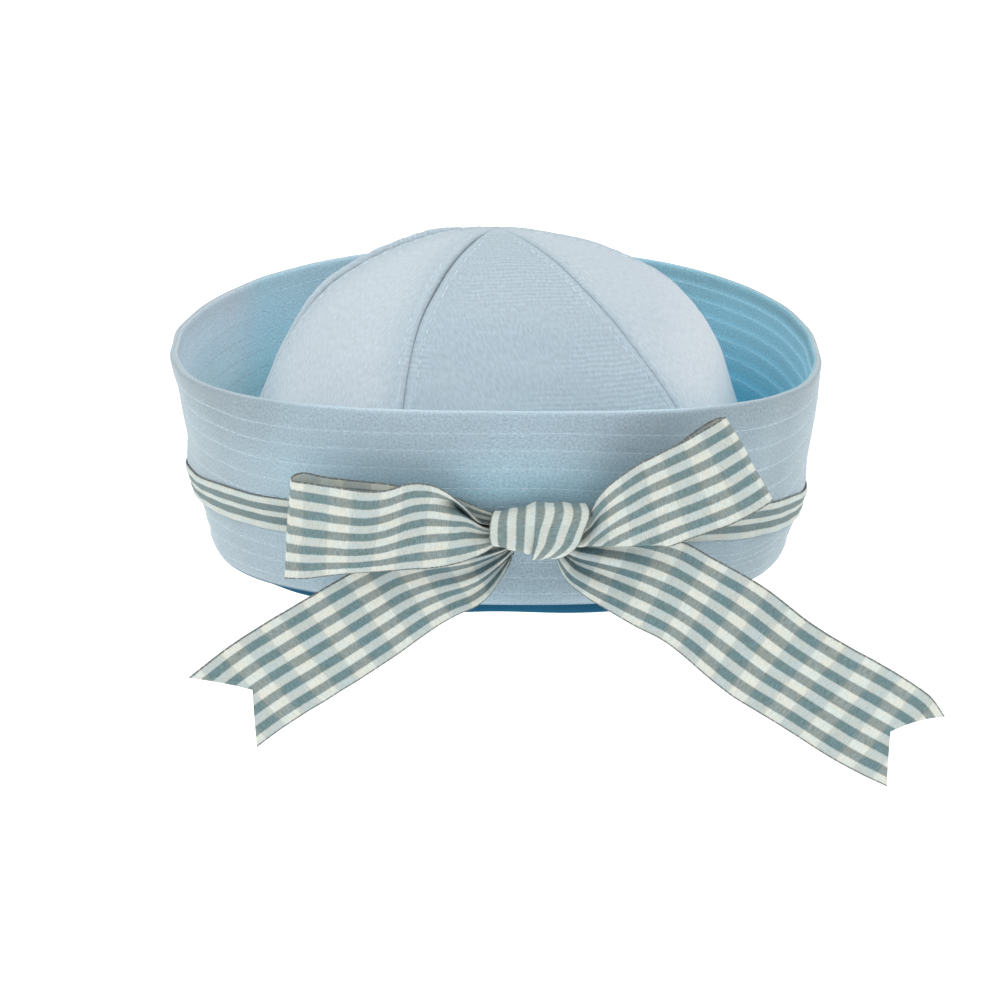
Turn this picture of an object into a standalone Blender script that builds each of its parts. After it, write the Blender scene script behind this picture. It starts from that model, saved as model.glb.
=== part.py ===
"""Six-panel sailor cap: domed crown, turned-up brim, sweatband, ribbon band and bow.

The tables and sizes are in millimetres, and each mesh is made in metres.  The origin is
the middle of the head opening, +Z is up, the bow faces -Y and the wearer's left is +X.
An azimuth is counted from the front (-Y) towards +X.  The bow's own left and right, in
the names of its loops and tails, are as seen from the front.
"""
from collections import namedtuple

import bmesh
import bpy
import numpy as np

MM = 0.001

# ---------------------------------------------------------------- driving sizes
FOLD_HALF_WIDTH = 93.7      # brim's bottom fold, side to side
FOLD_HALF_DEPTH = 88.8      # brim's bottom fold, front to back
DEPTH_FLARE = 0.77          # the brim flares less at the front than at the sides
SADDLE = 3.7                # front and back of the head opening rise, its sides drop
LEAN = 1.4                  # the cap sits lower on the wearer's left side
CROWN_TOP = 101.6           # apex above the brim's fold
BACK_SLOPE = 0.15           # the top of the crown falls this steeply towards the back
BACK_SLOPE_POWER = 7.0      # above 1, only the top of the crown slopes
ROUND = 2.0                 # squareness of a plain ellipse, as the crown has at its apex
FOOT_SQUARENESS = 2.12      # and of the head opening, which is a little boxier
BRIM_WALL = 2.4             # two layers of cotton and their stiffening
GORE_WALL = 1.2
SWEATBAND_WALL = 1.2
BAND_WALL = 1.2
RIBBON_WALL = 1.0
SEAM_GAP = 0.5              # between two gores, at their outer faces
SEAT_GAP = 0.3              # between pieces that touch
RIBBON_WIDTH = 32.0
BAND_WIDTH = 11.0           # the ribbon folded lengthwise to a third
TAIL_NOTCH = 11.0           # depth of the swallow tail
SWEATBAND_TUCK = 3.4        # its lower edge is drawn up this much at the sides

RING_STEPS = 72             # facets round the head
GORE_STEPS = 8              # facets across one gore
CORNER_RISE = 0.02          # how far the seams stand out of a plain oval, mid-height

BAND_HEIGHT_BACK = 19.5     # middle of the ribbon band above the fold
BAND_HEIGHT_FRONT = 28.0
BAND_TILT = 1.9             # the band sits higher on the wearer's right side
BAND_RISE_SHARPNESS = 0.75  # below 1, most of its rise is at the back
RIBBON_COLUMNS = 6          # facets across a bow loop or a tail
PLEAT_WAVES = 2             # gathers over the ribbon's width

# --------------------------------------------------------------------- sections
# Middle of the brim's wall, from the lip that carries the crown, round the fold and
# up to the rim.  flare is added to the fold's half width.
BrimRow = namedtuple("BrimRow", "height flare squareness")
BRIM_ROWS = (
    BrimRow(1.2, -3.3, FOOT_SQUARENESS),
    BrimRow(1.2, -0.9, FOOT_SQUARENESS),
    BrimRow(2.9, 1.1, FOOT_SQUARENESS),
    BrimRow(10.0, 3.8, 2.15),
    BrimRow(18.0, 5.2, 2.18),
    BrimRow(32.0, 7.7, 2.22),
    BrimRow(52.0, 11.0, 2.28),
    BrimRow(66.9, 12.4, 2.30),
)

# Outer face of the crown, from its seam in the brim's fold to the apex.  shift is how
# far the dome has slumped towards +X, and set_back how far towards the back.
CrownRow = namedtuple("CrownRow", "height half_width shift set_back")
CROWN_ROWS = (
    CrownRow(2.7, 92.0, 0.0, 0.0),
    CrownRow(14.0, 89.8, 0.2, 0.2),
    CrownRow(25.0, 86.8, 0.6, 0.5),
    CrownRow(45.0, 78.7, 1.3, 1.8),
    CrownRow(60.0, 73.2, 1.7, 3.1),
    CrownRow(72.0, 66.4, 1.1, 4.3),
    CrownRow(81.8, 58.0, 0.6, 5.4),
    CrownRow(89.8, 45.0, 0.5, 6.4),
    CrownRow(94.7, 33.9, 0.5, 7.0),
    CrownRow(98.7, 19.2, 0.3, 7.6),
    CrownRow(CROWN_TOP, 1.2, 0.2, 8.0),
)

# The seams between the gores, in degrees: where each one is at the crown's foot, and
# where it reaches the apex.  A seam rises straight at first, and drifts above that.
Seam = namedtuple("Seam", "foot apex")
SEAMS = (
    Seam(-25.5, -25.0),
    Seam(46.0, 34.0),
    Seam(108.0, 104.0),
    Seam(163.0, 158.0),
    Seam(217.0, 212.0),
    Seam(272.0, 261.0),
)
SEAM_DRIFT_SHARE = 0.45     # a seam drifts over this upper share of the crown's height

# Middle of the sweatband's wall, from the edge that shows under the fold.
SWEATBAND_ROWS = (
    CrownRow(-4.0, 89.0, 0.0, 0.0),
    CrownRow(2.7, 89.1, 0.0, 0.0),
    CrownRow(14.0, 87.2, 0.2, 0.2),
    CrownRow(26.0, 83.7, 0.6, 0.5),
)

# A loop's sections from the knot to its end fold.  x and z are the middle of the
# ribbon, lean turns its width from upright, front and back are the y of the two
# layers, and pleat is the depth of the gathers.
LoopRow = namedtuple("LoopRow", "x z width lean front back pleat")
LEFT_LOOP_ROWS = (
    LoopRow(-2.5, 32.8, 10.0, 0.0, -104.8, -101.2, 0.7),
    LoopRow(-9.7, 33.4, 17.0, 0.0, -108.3, -100.2, 1.3),
    LoopRow(-17.4, 35.6, 23.0, 0.0, -111.0, -99.4, 1.4),
    LoopRow(-32.8, 36.2, 26.0, 0.0, -112.0, -98.6, 0.7),
    LoopRow(-46.8, 34.3, 30.0, 2.0, -109.4, -97.6, 0.2),
    LoopRow(-57.5, 32.8, 32.0, 4.5, -103.6, -96.9, 0.0),
    LoopRow(-64.5, 31.9, 32.0, 6.5, -99.2, -97.2, 0.0),
)
RIGHT_LOOP_ROWS = (
    LoopRow(29.8, 34.2, 10.0, -2.0, -104.8, -101.2, 0.7),
    LoopRow(35.4, 37.2, 16.5, -12.0, -108.2, -100.0, 1.1),
    LoopRow(43.6, 42.0, 24.0, -19.0, -111.0, -99.0, 0.9),
    LoopRow(56.8, 47.0, 30.4, -25.0, -109.6, -97.4, 0.4),
    LoopRow(67.2, 50.3, 32.0, -29.0, -105.2, -96.8, 0.0),
    LoopRow(77.6, 53.1, 32.0, -31.0, -99.6, -97.4, 0.0),
)

# A tail's sections from the knot to its cut end.
TailRow = namedtuple("TailRow", "x y z width pleat")
LEFT_TAIL_ROWS = (
    TailRow(4.2, -102.0, 21.1, 8.0, 0.5),
    TailRow(-8.0, -102.0, 14.8, 17.0, 0.9),
    TailRow(-22.0, -101.5, 9.6, 25.0, 0.6),
    TailRow(-42.0, -100.8, 1.0, 29.5, 0.2),
    TailRow(-64.5, -98.6, -14.0, 30.8, 0.0),
    TailRow(-83.0, -95.8, -28.0, 30.8, 0.0),
)
RIGHT_TAIL_ROWS = (
    TailRow(19.5, -102.0, 19.7, 8.0, 0.5),
    TailRow(28.5, -102.0, 17.0, 16.0, 0.9),
    TailRow(40.0, -101.4, 15.2, 26.0, 0.6),
    TailRow(55.0, -99.8, 8.6, 31.0, 0.2),
    TailRow(73.5, -96.6, -2.6, RIBBON_WIDTH, 0.0),
    TailRow(93.0, -91.6, -17.4, RIBBON_WIDTH, 0.0),
    TailRow(113.0, -84.8, -32.6, RIBBON_WIDTH, 0.0),
    TailRow(131.5, -78.0, -46.6, RIBBON_WIDTH, 0.0),
)

KNOT_CENTRE = (13.6, -104.7, 33.2)
KNOT_HALF_SIZE = (15.5, 7.4, 9.6)
KNOT_SQUARENESS = 3.0
KNOT_SEGMENTS = 20
KNOT_RINGS = 12

# ---------------------------------------------------------------------- colours
LIGHT_COTTON = (0.50, 0.62, 0.70)
BRIM_COTTON = (0.42, 0.56, 0.65)
DEEP_BLUE = (0.01, 0.09, 0.20)
GINGHAM_GREY = (0.50, 0.56, 0.54)
CLOTH_ROUGHNESS = 0.85


def column(rows, name):
    """One named column of a table, as an array."""
    return np.array([getattr(row, name) for row in rows])


def oval(azimuth, half_width, half_depth, squareness):
    """Points of a superellipse: x and y at each azimuth."""
    across = np.sin(azimuth)
    ahead = np.cos(azimuth)
    x = half_width * np.sign(across) * np.abs(across) ** (2.0 / squareness)
    y = -half_depth * np.sign(ahead) * np.abs(ahead) ** (2.0 / squareness)
    return x, y


def lift(azimuth):
    """Height of the head opening's edge: a saddle, and a slight lean to one side."""
    return SADDLE * np.cos(2.0 * azimuth) - LEAN * np.sin(azimuth)


def share_below_apex(height):
    """1 at the crown's lower seam and 0 at its apex."""
    seam = CROWN_ROWS[0].height
    return np.clip((CROWN_TOP - height) / (CROWN_TOP - seam), 0.0, 1.0)


def brim_points(azimuth, height, flare, squareness, outward=0.0):
    """A ring on the brim, at a distance outward from the middle of its wall."""
    depth_flare = np.where(flare > 0.0, flare * DEPTH_FLARE, flare)
    half_width = FOLD_HALF_WIDTH + flare + outward
    half_depth = FOLD_HALF_DEPTH + depth_flare + outward
    x, y = oval(azimuth, half_width, half_depth, squareness)
    return np.stack([x, y, height + lift(azimuth)], axis=-1)


def seam_azimuths(height):
    """Every seam's azimuth at a height, and the first one again after a full turn."""
    share = min(share_below_apex(height) / SEAM_DRIFT_SHARE, 1.0)
    degrees = [seam.apex + (seam.foot - seam.apex) * share for seam in SEAMS]
    return np.radians(degrees + [degrees[0] + 360.0])


def crown_points(azimuth, row):
    """A ring on the crown: an oval that turns round towards the apex, where it slopes
    back.  It swells a little at the seams, so that each gore is flatter than the oval.
    """
    height, half_width, shift, set_back = row
    share = share_below_apex(height)
    half_depth = half_width - (FOLD_HALF_WIDTH - FOLD_HALF_DEPTH) * share
    seams = seam_azimuths(height)
    turned = (azimuth - seams[0]) % (2.0 * np.pi) + seams[0]
    panel_phase = np.interp(turned, seams, 2.0 * np.pi * np.arange(len(seams)))
    swell = CORNER_RISE * np.sin(np.pi * np.clip(height / CROWN_TOP, 0.0, 1.0))
    corners = 1.0 + swell * np.cos(panel_phase)
    squareness = ROUND + (FOOT_SQUARENESS - ROUND) * share
    x, y = oval(azimuth, half_width * corners, half_depth * corners, squareness)
    z = height + lift(azimuth) * share - BACK_SLOPE * (1.0 - share) ** BACK_SLOPE_POWER * y
    return np.stack([x + shift, y + set_back, z], axis=-1)


def grid_object(name, points, colour, wrap=False):
    """An open surface through a grid of points, rows first, in millimetres."""
    rows, columns = points.shape[:2]
    mesh = bpy.data.meshes.new(name)
    faces = []
    for row in range(rows - 1):
        for step in range(columns if wrap else columns - 1):
            after = (step + 1) % columns
            here = row * columns
            above = here + columns
            faces.append((here + step, here + after, above + after, above + step))
    mesh.from_pydata((points.reshape(-1, 3) * MM).tolist(), [], faces)
    mesh.shade_smooth()
    return finish(name, mesh, colour)


def finish(name, mesh, colour):
    """Put a mesh in the cap's collection, with a material of its own."""
    material = bpy.data.materials.new(name)
    material.use_nodes = True
    shader = material.node_tree.nodes["Principled BSDF"]
    shader.inputs["Base Color"].default_value = (*colour, 1.0)
    shader.inputs["Roughness"].default_value = CLOTH_ROUGHNESS
    shader.inputs["Metallic"].default_value = 0.0
    mesh.materials.append(material)
    thing = bpy.data.objects.new(name, mesh)
    bpy.data.collections["sailor_cap"].objects.link(thing)
    return thing


def thicken(thing, wall, offset):
    """Give a surface its wall: offset 0 is centred, -1 goes behind its normals."""
    solid = thing.modifiers.new("wall", "SOLIDIFY")
    solid.thickness = wall * MM
    solid.offset = offset
    solid.use_even_offset = True


def ring_azimuths():
    """Azimuths of a full ring, each once."""
    return np.linspace(0.0, 2.0 * np.pi, RING_STEPS, endpoint=False)


def make_brim():
    azimuth = ring_azimuths()
    rings = [brim_points(azimuth, row.height, row.flare, row.squareness) for row in BRIM_ROWS]
    brim = grid_object("brim", np.array(rings), BRIM_COTTON, wrap=True)
    thicken(brim, BRIM_WALL, 0.0)


def make_gores():
    """Six panels, each between two seams and a little narrower than the space."""
    for number in range(len(SEAMS)):
        rings = []
        for row in CROWN_ROWS:
            start, end = seam_azimuths(row.height)[number:number + 2]
            inset = SEAM_GAP / 2.0 / row.half_width
            azimuth = np.linspace(start + inset, end - inset, GORE_STEPS + 1)
            rings.append(crown_points(azimuth, row))
        gore = grid_object(f"crown_gore_{number + 1}", np.array(rings), LIGHT_COTTON)
        thicken(gore, GORE_WALL, -1.0)


def make_sweatband():
    azimuth = ring_azimuths()
    rings = [crown_points(azimuth, row) for row in SWEATBAND_ROWS]
    rings[0][:, 2] += SWEATBAND_TUCK * np.sin(azimuth) ** 2
    band = grid_object("sweatband", np.array(rings), DEEP_BLUE, wrap=True)
    thicken(band, SWEATBAND_WALL, 0.0)


def make_ribbon_band():
    """A strip round the brim that rises from the back to the knot."""
    azimuth = ring_azimuths()
    rise = ((1.0 + np.cos(azimuth)) / 2.0) ** BAND_RISE_SHARPNESS
    middle = BAND_HEIGHT_BACK + (BAND_HEIGHT_FRONT - BAND_HEIGHT_BACK) * rise
    middle -= BAND_TILT * np.sin(azimuth)
    brim_heights = column(BRIM_ROWS, "height")
    outward = BRIM_WALL / 2.0 + SEAT_GAP + BAND_WALL / 2.0
    rings = []
    for share in (-0.5, 0.0, 0.5):
        height = middle + share * BAND_WIDTH
        flare = np.interp(height, brim_heights, column(BRIM_ROWS, "flare"))
        squareness = np.interp(height, brim_heights, column(BRIM_ROWS, "squareness"))
        rings.append(brim_points(azimuth, height, flare, squareness, outward))
    band = grid_object("ribbon_band", np.array(rings), GINGHAM_GREY, wrap=True)
    thicken(band, BAND_WALL, 0.0)


def gathers(across, depth):
    """Pleats that run along a ribbon; across goes from -1 to 1 over its width."""
    return depth * np.cos(np.pi * PLEAT_WAVES * across)


def make_loop(name, rows):
    """A ribbon that leaves the knot in front, folds at its end and returns behind."""
    across = np.linspace(-1.0, 1.0, RIBBON_COLUMNS + 1)
    layers = [(row, row.front, -1.0) for row in rows]
    layers += [(row, row.back, 1.0) for row in reversed(rows)]
    strips = []
    for row, depth, side in layers:
        lean = np.radians(row.lean)
        half = across * row.width / 2.0
        x = row.x + half * np.sin(lean)
        y = depth + side * gathers(across, row.pleat)
        z = row.z + half * np.cos(lean)
        strips.append(np.stack([x, y, z], axis=-1))
    loop = grid_object(name, np.array(strips), GINGHAM_GREY)
    thicken(loop, RIBBON_WALL, 0.0)


def make_tail(name, rows):
    """A ribbon along its table's middle line, cut to a swallow tail at its end."""
    across = np.linspace(-1.0, 1.0, RIBBON_COLUMNS + 1)
    middle = np.stack([column(rows, axis) for axis in "xyz"], axis=-1)
    along = np.gradient(middle, axis=0)
    along /= np.linalg.norm(along, axis=1)[:, None]
    strips = []
    for index, row in enumerate(rows):
        upright = np.array([-along[index, 2], 0.0, along[index, 0]])
        upright *= np.sign(upright[2]) / np.linalg.norm(upright)
        strip = middle[index] + np.outer(across * row.width / 2.0, upright)
        strip[:, 1] += gathers(across, row.pleat)
        strips.append(strip)
    strips[-1] += np.outer(TAIL_NOTCH * (np.abs(across) - 0.5), along[-1])
    tail = grid_object(name, np.array(strips), GINGHAM_GREY)
    thicken(tail, RIBBON_WALL, 0.0)


def make_knot():
    """The wrapped knot: a sphere squared into a soft barrel that lies along X."""
    mesh = bpy.data.meshes.new("bow_knot")
    ball = bmesh.new()
    bmesh.ops.create_uvsphere(
        ball, u_segments=KNOT_SEGMENTS, v_segments=KNOT_RINGS, radius=1.0
    )
    for vertex in ball.verts:
        x, y, z = vertex.co.z, vertex.co.x, vertex.co.y
        total = sum(abs(part) ** KNOT_SQUARENESS for part in (x, y, z))
        norm = total ** (1.0 / KNOT_SQUARENESS)
        vertex.co = [
            (centre + half * part / norm) * MM
            for centre, half, part in zip(KNOT_CENTRE, KNOT_HALF_SIZE, (x, y, z))
        ]
    ball.to_mesh(mesh)
    ball.free()
    mesh.shade_smooth()
    finish("bow_knot", mesh, GINGHAM_GREY)


def main():
    for old in list(bpy.data.objects):
        bpy.data.objects.remove(old, do_unlink=True)
    collection = bpy.data.collections.new("sailor_cap")
    bpy.context.scene.collection.children.link(collection)
    make_gores()
    make_brim()
    make_sweatband()
    make_ribbon_band()
    make_knot()
    make_loop("bow_loop_left", LEFT_LOOP_ROWS)
    make_loop("bow_loop_right", RIGHT_LOOP_ROWS)
    make_tail("bow_tail_left", LEFT_TAIL_ROWS)
    make_tail("bow_tail_right", RIGHT_TAIL_ROWS)


main()
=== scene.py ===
"""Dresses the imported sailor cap: cotton crown and brim, sweatband, ribbon band and bow.

Tables and sizes here are in millimetres, and each mesh is made in metres.  The origin is
the middle of the head opening, +Z is up and the bow faces -Y.  An azimuth is counted from
the front (-Y) towards +X.  Left and right are as seen from the front.
"""

import math
from collections import namedtuple

import bmesh
import bpy
import numpy as np
from bpy.props import FloatProperty, FloatVectorProperty, PointerProperty
from bpy.types import Operator, Panel, PropertyGroup
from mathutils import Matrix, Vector


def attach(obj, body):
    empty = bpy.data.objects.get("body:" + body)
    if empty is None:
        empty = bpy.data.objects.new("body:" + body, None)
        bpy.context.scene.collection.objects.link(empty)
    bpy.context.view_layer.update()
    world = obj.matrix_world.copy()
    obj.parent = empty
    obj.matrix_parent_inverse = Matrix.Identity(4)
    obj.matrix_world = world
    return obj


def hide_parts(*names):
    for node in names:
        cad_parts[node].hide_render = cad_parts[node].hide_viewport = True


bl_info = {
    "name": "Sailor Cap",
    "version": (1, 0, 0),
    "blender": (4, 5, 0),
    "location": "View3D > Sidebar > Sailor Cap",
    "description": "Builds a six-panel sailor cap with a gingham bow on its packed frame",
    "category": "Object",
}

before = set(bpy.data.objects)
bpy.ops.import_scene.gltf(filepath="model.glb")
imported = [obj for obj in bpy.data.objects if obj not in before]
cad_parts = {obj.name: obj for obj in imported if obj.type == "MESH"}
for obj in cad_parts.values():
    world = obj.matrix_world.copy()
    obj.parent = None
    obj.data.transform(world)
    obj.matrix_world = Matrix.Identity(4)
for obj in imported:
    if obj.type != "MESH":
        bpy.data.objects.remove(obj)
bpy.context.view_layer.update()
MM = 0.001
FULL_TURN = 2 * math.pi
LEFT_SIDE = 0.75 * FULL_TURN  # azimuth of -X

# ------------------------------------------------------------------- the cap's shape
FOLD_HALF_WIDTH = 93.7       # brim's bottom fold, side to side
FOLD_HALF_DEPTH = 88.8       # brim's bottom fold, front to back
DEPTH_FLARE = 0.77           # the brim flares less at the front than at the sides
SADDLE = 3.7                 # front and back of the head opening rise, its sides drop
LEAN = 1.4                   # the cap sits lower at +X
BRIM_WALL = 2.4
RIM_BULGE = 0.15             # the folded rim is this much thicker on each side
LEFT_DENT = 2.3              # the brim's left wall is pressed in
DENT_WIDTH = 0.55            # how far round the dents of the two sides reach, in radians
BAND_PINCH = 0.9             # and the ribbon band draws the brim in all round
# Smaller dents of the brim's two sides: height, then how far -X and +X are pressed in.
SIDE_DENTS = np.array([
    (0, 0.3, 0.2), (1.8, 1.2, 0.4), (4.1, 2.1, 0.7), (6.8, 2.7, 1.1), (11.7, 1.6, 0.7),
    (17, 0.2, -1), (23.7, -1.6, -1.7), (31, -1.6, -0.3), (34, -0.7, 0), (38, 0.4, 0.1),
    (47, 0.7, 0.1), (59, 0.7, 0), (67, 1.4, 0),
])
STITCH_ROW_HEIGHTS = np.array((5.6, 11.1, 16.3, 21.6, 28.0, 34.6, 41.0, 47.6, 53.8, 59.5))
# How the rows stray: degrees round the cap, how far a row lies above its place there,
# and how much further for each millimetre that it is below the rim.
STRAY_TABLE = np.array([
    (-180, 0.9, 0.17), (-90, 0.8, 0.03), (-62, 0.8, 0.02), (-44, -0.6, 0), (-14, 0, 0),
    (8, 0.4, 0), (30, -0.4, -0.12), (52, -0.2, -0.27), (75, 0.2, -0.05), (95, 0.7, 0.12),
    (115, 0.9, 0.17), (180, 0.9, 0.17),
])

# Middle of the brim's wall: height, flare added to the fold's half width, squareness.
BRIM_TABLE = np.array([
    (1.2, -3.3, 2.12), (1.2, -0.9, 2.12), (2.9, 1.1, 2.12), (10, 3.8, 2.15), (18, 5.2, 2.18),
    (32, 7.7, 2.22), (52, 11, 2.28), (66.9, 12.4, 2.30),
])

# Outer face of the crown: height, half width, its slump towards +X and its set-back.
CROWN_TABLE = np.array([
    (2.7, 92, 0, 0), (14, 89.8, 0.2, 0.2), (25, 86.8, 0.6, 0.5), (45, 78.7, 1.3, 1.8),
    (60, 73.2, 1.7, 3.1), (72, 66.4, 1.1, 4.3), (81.8, 58, 0.6, 5.4), (89.8, 45, 0.5, 6.4),
    (94.7, 33.9, 0.5, 7), (98.7, 19.2, 0.3, 7.6), (101.6, 0, 0.2, 8),
])
CROWN_FOOT, CROWN_TOP = CROWN_TABLE[0, 0], CROWN_TABLE[-1, 0]
BACK_SLOPE = 0.15            # the top of the crown falls this steeply towards the back
BACK_SLOPE_POWER = 7
CORNER_RISE = 0.02           # how far the seams stand out of a plain oval, mid-height
APEX_SQUARENESS = 2
FOOT_SQUARENESS = 2.12
GORE_WALL = 0.9

# Each seam: its azimuth at the foot and at the apex, the upper share of the crown over
# which it drifts, how deep its groove is drawn in, and how dark its painted shade is.
Seam = namedtuple("Seam", "foot apex drift draw dark")
SEAMS = (
    Seam(-24, -26, 0.45, 0.45, 0.34),
    Seam(47, 32, 0.45, 0.05, 0),
    Seam(108, 104, 0.45, 0.05, 0),
    Seam(163, 158, 0.45, 0.20, 0.2),
    Seam(217, 212, 0.45, 0.20, 0.2),
    Seam(277, 260, 0.20, 0.90, 0.60),
)
SEAM_SIDE_SHADE = 0.80         # painted shade: beside a seam the cloth takes the darker front colour, so the gore's middle looks lit
SEAM_SHADE_REACH = (4, 13)         # the painted shade reaches this far, and this much further by a dark seam
LEFT_SHOULDER = (-14, 11, 99)  # a soft lump of the crown's cloth
SHOULDER_RISE, SHOULDER_SPREAD = 1, 13
ROLLED_GORE = 4              # its edge at the last seam, counted from 0, bulges
EDGE_ROLL = (1.3, 3.4, 2.8)  # height, distance from the seam and width of that bulge
SEAM_ROLL = 0.48             # radius of a gore's edge where it turns into its seam
SEAM_CLEARANCE = 0.06
FOOT_SEAM_FLATTER = 0.65     # low down the gores' edges turn in this much less
ALLOWANCE_DEPTHS = (2.6, 1)  # the turned-in edge goes down this far
TOPSTITCH_DISTANCE = 3.5     # from the seam, on both sides
# Heights, distances from a seam and widths of the soft forms beside it.
ALLOWANCE_RIDGE = (0.32, 2.1, 1.5)
STITCH_CHANNEL = (-0.26, TOPSTITCH_DISTANCE, 0.4)
PUCKER_STRIP = (0.12, 3.4, 2.4)
PUCKER_LENGTH = 5.4
STRIP_COLUMNS = (0.8, 1.4, 1.9, 2.4, 2.8, 3.15, 3.5, 3.85, 4.2, 4.7, 5.4, 6.2)
EDGE_ZONE = 7                # width of the closely modelled strip beside a seam
SEAM_FADE = (0.90, 0.985)    # share of the way to the apex where the seams fade out
SEAM_TIGHTENS = (0.50, 0.70)
APEX_TONE = 0.6
SEAM_GROOVE_SHADE = -0.10           # painted shade: this much darker in a seam's groove, and half as much lighter, a painted highlight, on the ridge beside it
RIB_PITCH = 1.65             # faint ribs across the front gore
RIB_STRENGTH = 0.07
# Painted shade: the front gore takes the darker front colour, as the side lamps light it less;
# the other gores differ a little in tone.
GORE_TONES = (1, 0.1, 0.5, 0.3, 0.5, 0)  # how much of the darker front colour each gore takes

# Middle of the sweatband's wall, from its lower edge, as in the crown's table.
SWEATBAND_TABLE = np.array([
    (-4, 89, 0, 0), (2.7, 89.1, 0, 0), (14, 87.2, 0.2, 0.2), (26, 83.7, 0.6, 0.5),
])
SWEATBAND_WALL = 1.2
SWEATBAND_TUCK = 4.2         # its lower edge is drawn up this much at the sides

# ----------------------------------------------------------------------- the ribbon
RIBBON_WIDTH = 32
RIBBON_WALL = 0.5
STRIPE_COUNT = 11
STRIPE_WIDTH = RIBBON_WIDTH / STRIPE_COUNT  # six cream stripes and five grey ones
CROSS_BAND = 8               # length of each paler and darker stretch of the stripes
KNOT_LENGTH = 52             # round the knot
BAND_LENGTH = 620            # round the brim

BAND_HEIGHT_BACK = 19.5
BAND_HEIGHT_FRONT = 28
BAND_TILT = 1.9
BAND_RISE_SHARPNESS = 0.75
# Round the two sides the band sags and narrows: azimuth in degrees, reach in radians,
# sag, and share of the width that is lost.
BAND_SAGS = ((-106, 0.42, 4.8, 0.20), (94, 0.42, 3.2, 0.22))
BAND_CLOTH = 0.14            # half the thickness of each of the band's three layers
# How strongly the paler and darker stretches show on each piece; on the tails it is 1.
BAND_CROSS, LOOP_CROSS, KNOT_CROSS = 0.15, 0.75, 0.30
# The band's waver up and down and its changes of width: waves by height, count and phase.
BAND_WAVERS = ((0.25, 3, 0.8), (0.15, 11, 0))
BAND_SQUEEZES = ((0.05, 7, 1), (0.03, 17, 0))
BAND_SHADE = 0.42            # the band is this much deeper in colour than the bow

# Section of the ribbon band, folded in three: distance from the middle of the brim's
# wall, height from the band's middle, and the ribbon's own width coordinate there.
BAND_SECTION = np.array([
    (1.40, -4.9, 32), (1.40, 0, 28.4), (1.40, 3.9, 25.2), (1.55, 4.3, 24.7),
    (1.72, 3.9, 24.2), (1.74, 0, 19.6), (1.74, -4.8, 15), (1.90, -5.3, 14.4),
    (2.14, -5, 13.9), (2.24, -4.2, 12.9), (2.08, -3.1, 11.6), (2.22, -1.8, 9.9),
    (2.12, -0.7, 8.7), (2.24, 0, 7.4), (2.12, 0.9, 5.8), (2.24, 2.2, 4.2), (2.20, 3.6, 2.6),
    (2.16, 4.4, 1.6), (1.90, 5, 0.7), (1.50, 5.4, 0),
])

# Edges of the bow's loops as x, y, z: along the front layer from the knot to the end
# fold, and along the back layer from the fold to the knot.
Edges = namedtuple("Edges", "top bottom")
LEFT_LOOP_FRONT = Edges(
    top=np.array([
        (0, -105, 35.6), (-3.8, -106.5, 37.1), (-8.1, -108.5, 41.4), (-11.3, -110.5, 45),
        (-15.8, -112, 49), (-19.5, -113, 51.2), (-22.2, -113, 51.8), (-25, -112.5, 51.9),
        (-28.1, -112, 51.2), (-32.4, -111.5, 49.7), (-37.4, -111, 48.8), (-46.7, -109, 49.2),
        (-54.5, -106, 49.5), (-60.2, -103, 49.3), (-63.2, -101, 49.1),
    ]),
    bottom=np.array([
        (1, -105, 30), (-3.5, -107.5, 27.6), (-9.7, -109.5, 25.2), (-17.4, -110.5, 23.8),
        (-26.7, -110.5, 23.2), (-36.1, -109.5, 22.3), (-45.5, -107.5, 20.8),
        (-52.5, -105, 19), (-60.4, -102.5, 17.2), (-65.8, -100.6, 16.8),
    ]),
)
LEFT_LOOP_BACK = Edges(
    top=np.array([
        (-62.6, -98.6, 50.5), (-60.8, -97.8, 50.8), (-54, -97.4, 49.6), (-45.3, -97.5, 48.4),
        (-37.5, -97.8, 47.5), (-32.4, -98, 46.9), (-24, -98.4, 45.6), (-11.4, -100, 42.8),
        (-6.5, -101, 40.8), (-1.6, -102, 39.2), (2, -102.4, 37.8),
    ]),
    bottom=np.array([
        (-65.6, -98.6, 16.9), (-63.4, -97.4, 17.4), (-56, -97, 18.4), (-46, -97.4, 20),
        (-34, -98, 22), (-20, -98.8, 24.6), (-8, -100, 27.6), (2, -101.6, 31),
    ]),
)
RIGHT_LOOP_FRONT = Edges(
    top=np.array([
        (26.5, -105, 37.5), (30.2, -106.5, 41.7), (31.6, -108, 45), (34.2, -110, 49.6),
        (38, -111.3, 53.8), (43, -111.4, 57.6), (51, -109.2, 61), (59, -106, 64),
        (66, -102.8, 67.2), (69.6, -101, 69),
    ]),
    bottom=np.array([
        (20, -104.5, 12.5), (33.3, -106.5, 20.9), (45.6, -108.3, 26.7), (56.4, -108.6, 31.3),
        (66, -107, 34.3), (76, -103.6, 37.2), (82, -101.4, 39.9), (85, -100.2, 41.5),
    ]),
)
RIGHT_LOOP_BACK = Edges(
    top=np.array([
        (69.8, -99, 68.6), (68.6, -97.8, 68.2), (66.4, -97.4, 67), (62.4, -97.4, 64.5),
        (56.9, -97.6, 60.2), (48, -98.2, 53.2), (38, -99.6, 46), (30, -101.4, 38.4),
        (25, -102.6, 35),
    ]),
    bottom=np.array([
        (85.4, -98.6, 41.7), (83.6, -97.2, 41.2), (76, -97, 38), (64, -97.6, 34.6),
        (50, -98.8, 32.4), (36, -101, 31), (25, -102.4, 30.6),
    ]),
)

# How far the left loop's middle is above a straight line between its edges: share of
# the way from the knot to the end fold, and height.
LEFT_LOOP_SWELL = np.array([
    (0, 0.6), (0.08, 2.2), (0.17, 3.4), (0.26, 2.6), (0.36, 1.4), (0.44, 0.1), (0.53, -1.2),
    (0.68, -1.9), (0.85, -1), (1, 0),
])

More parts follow.
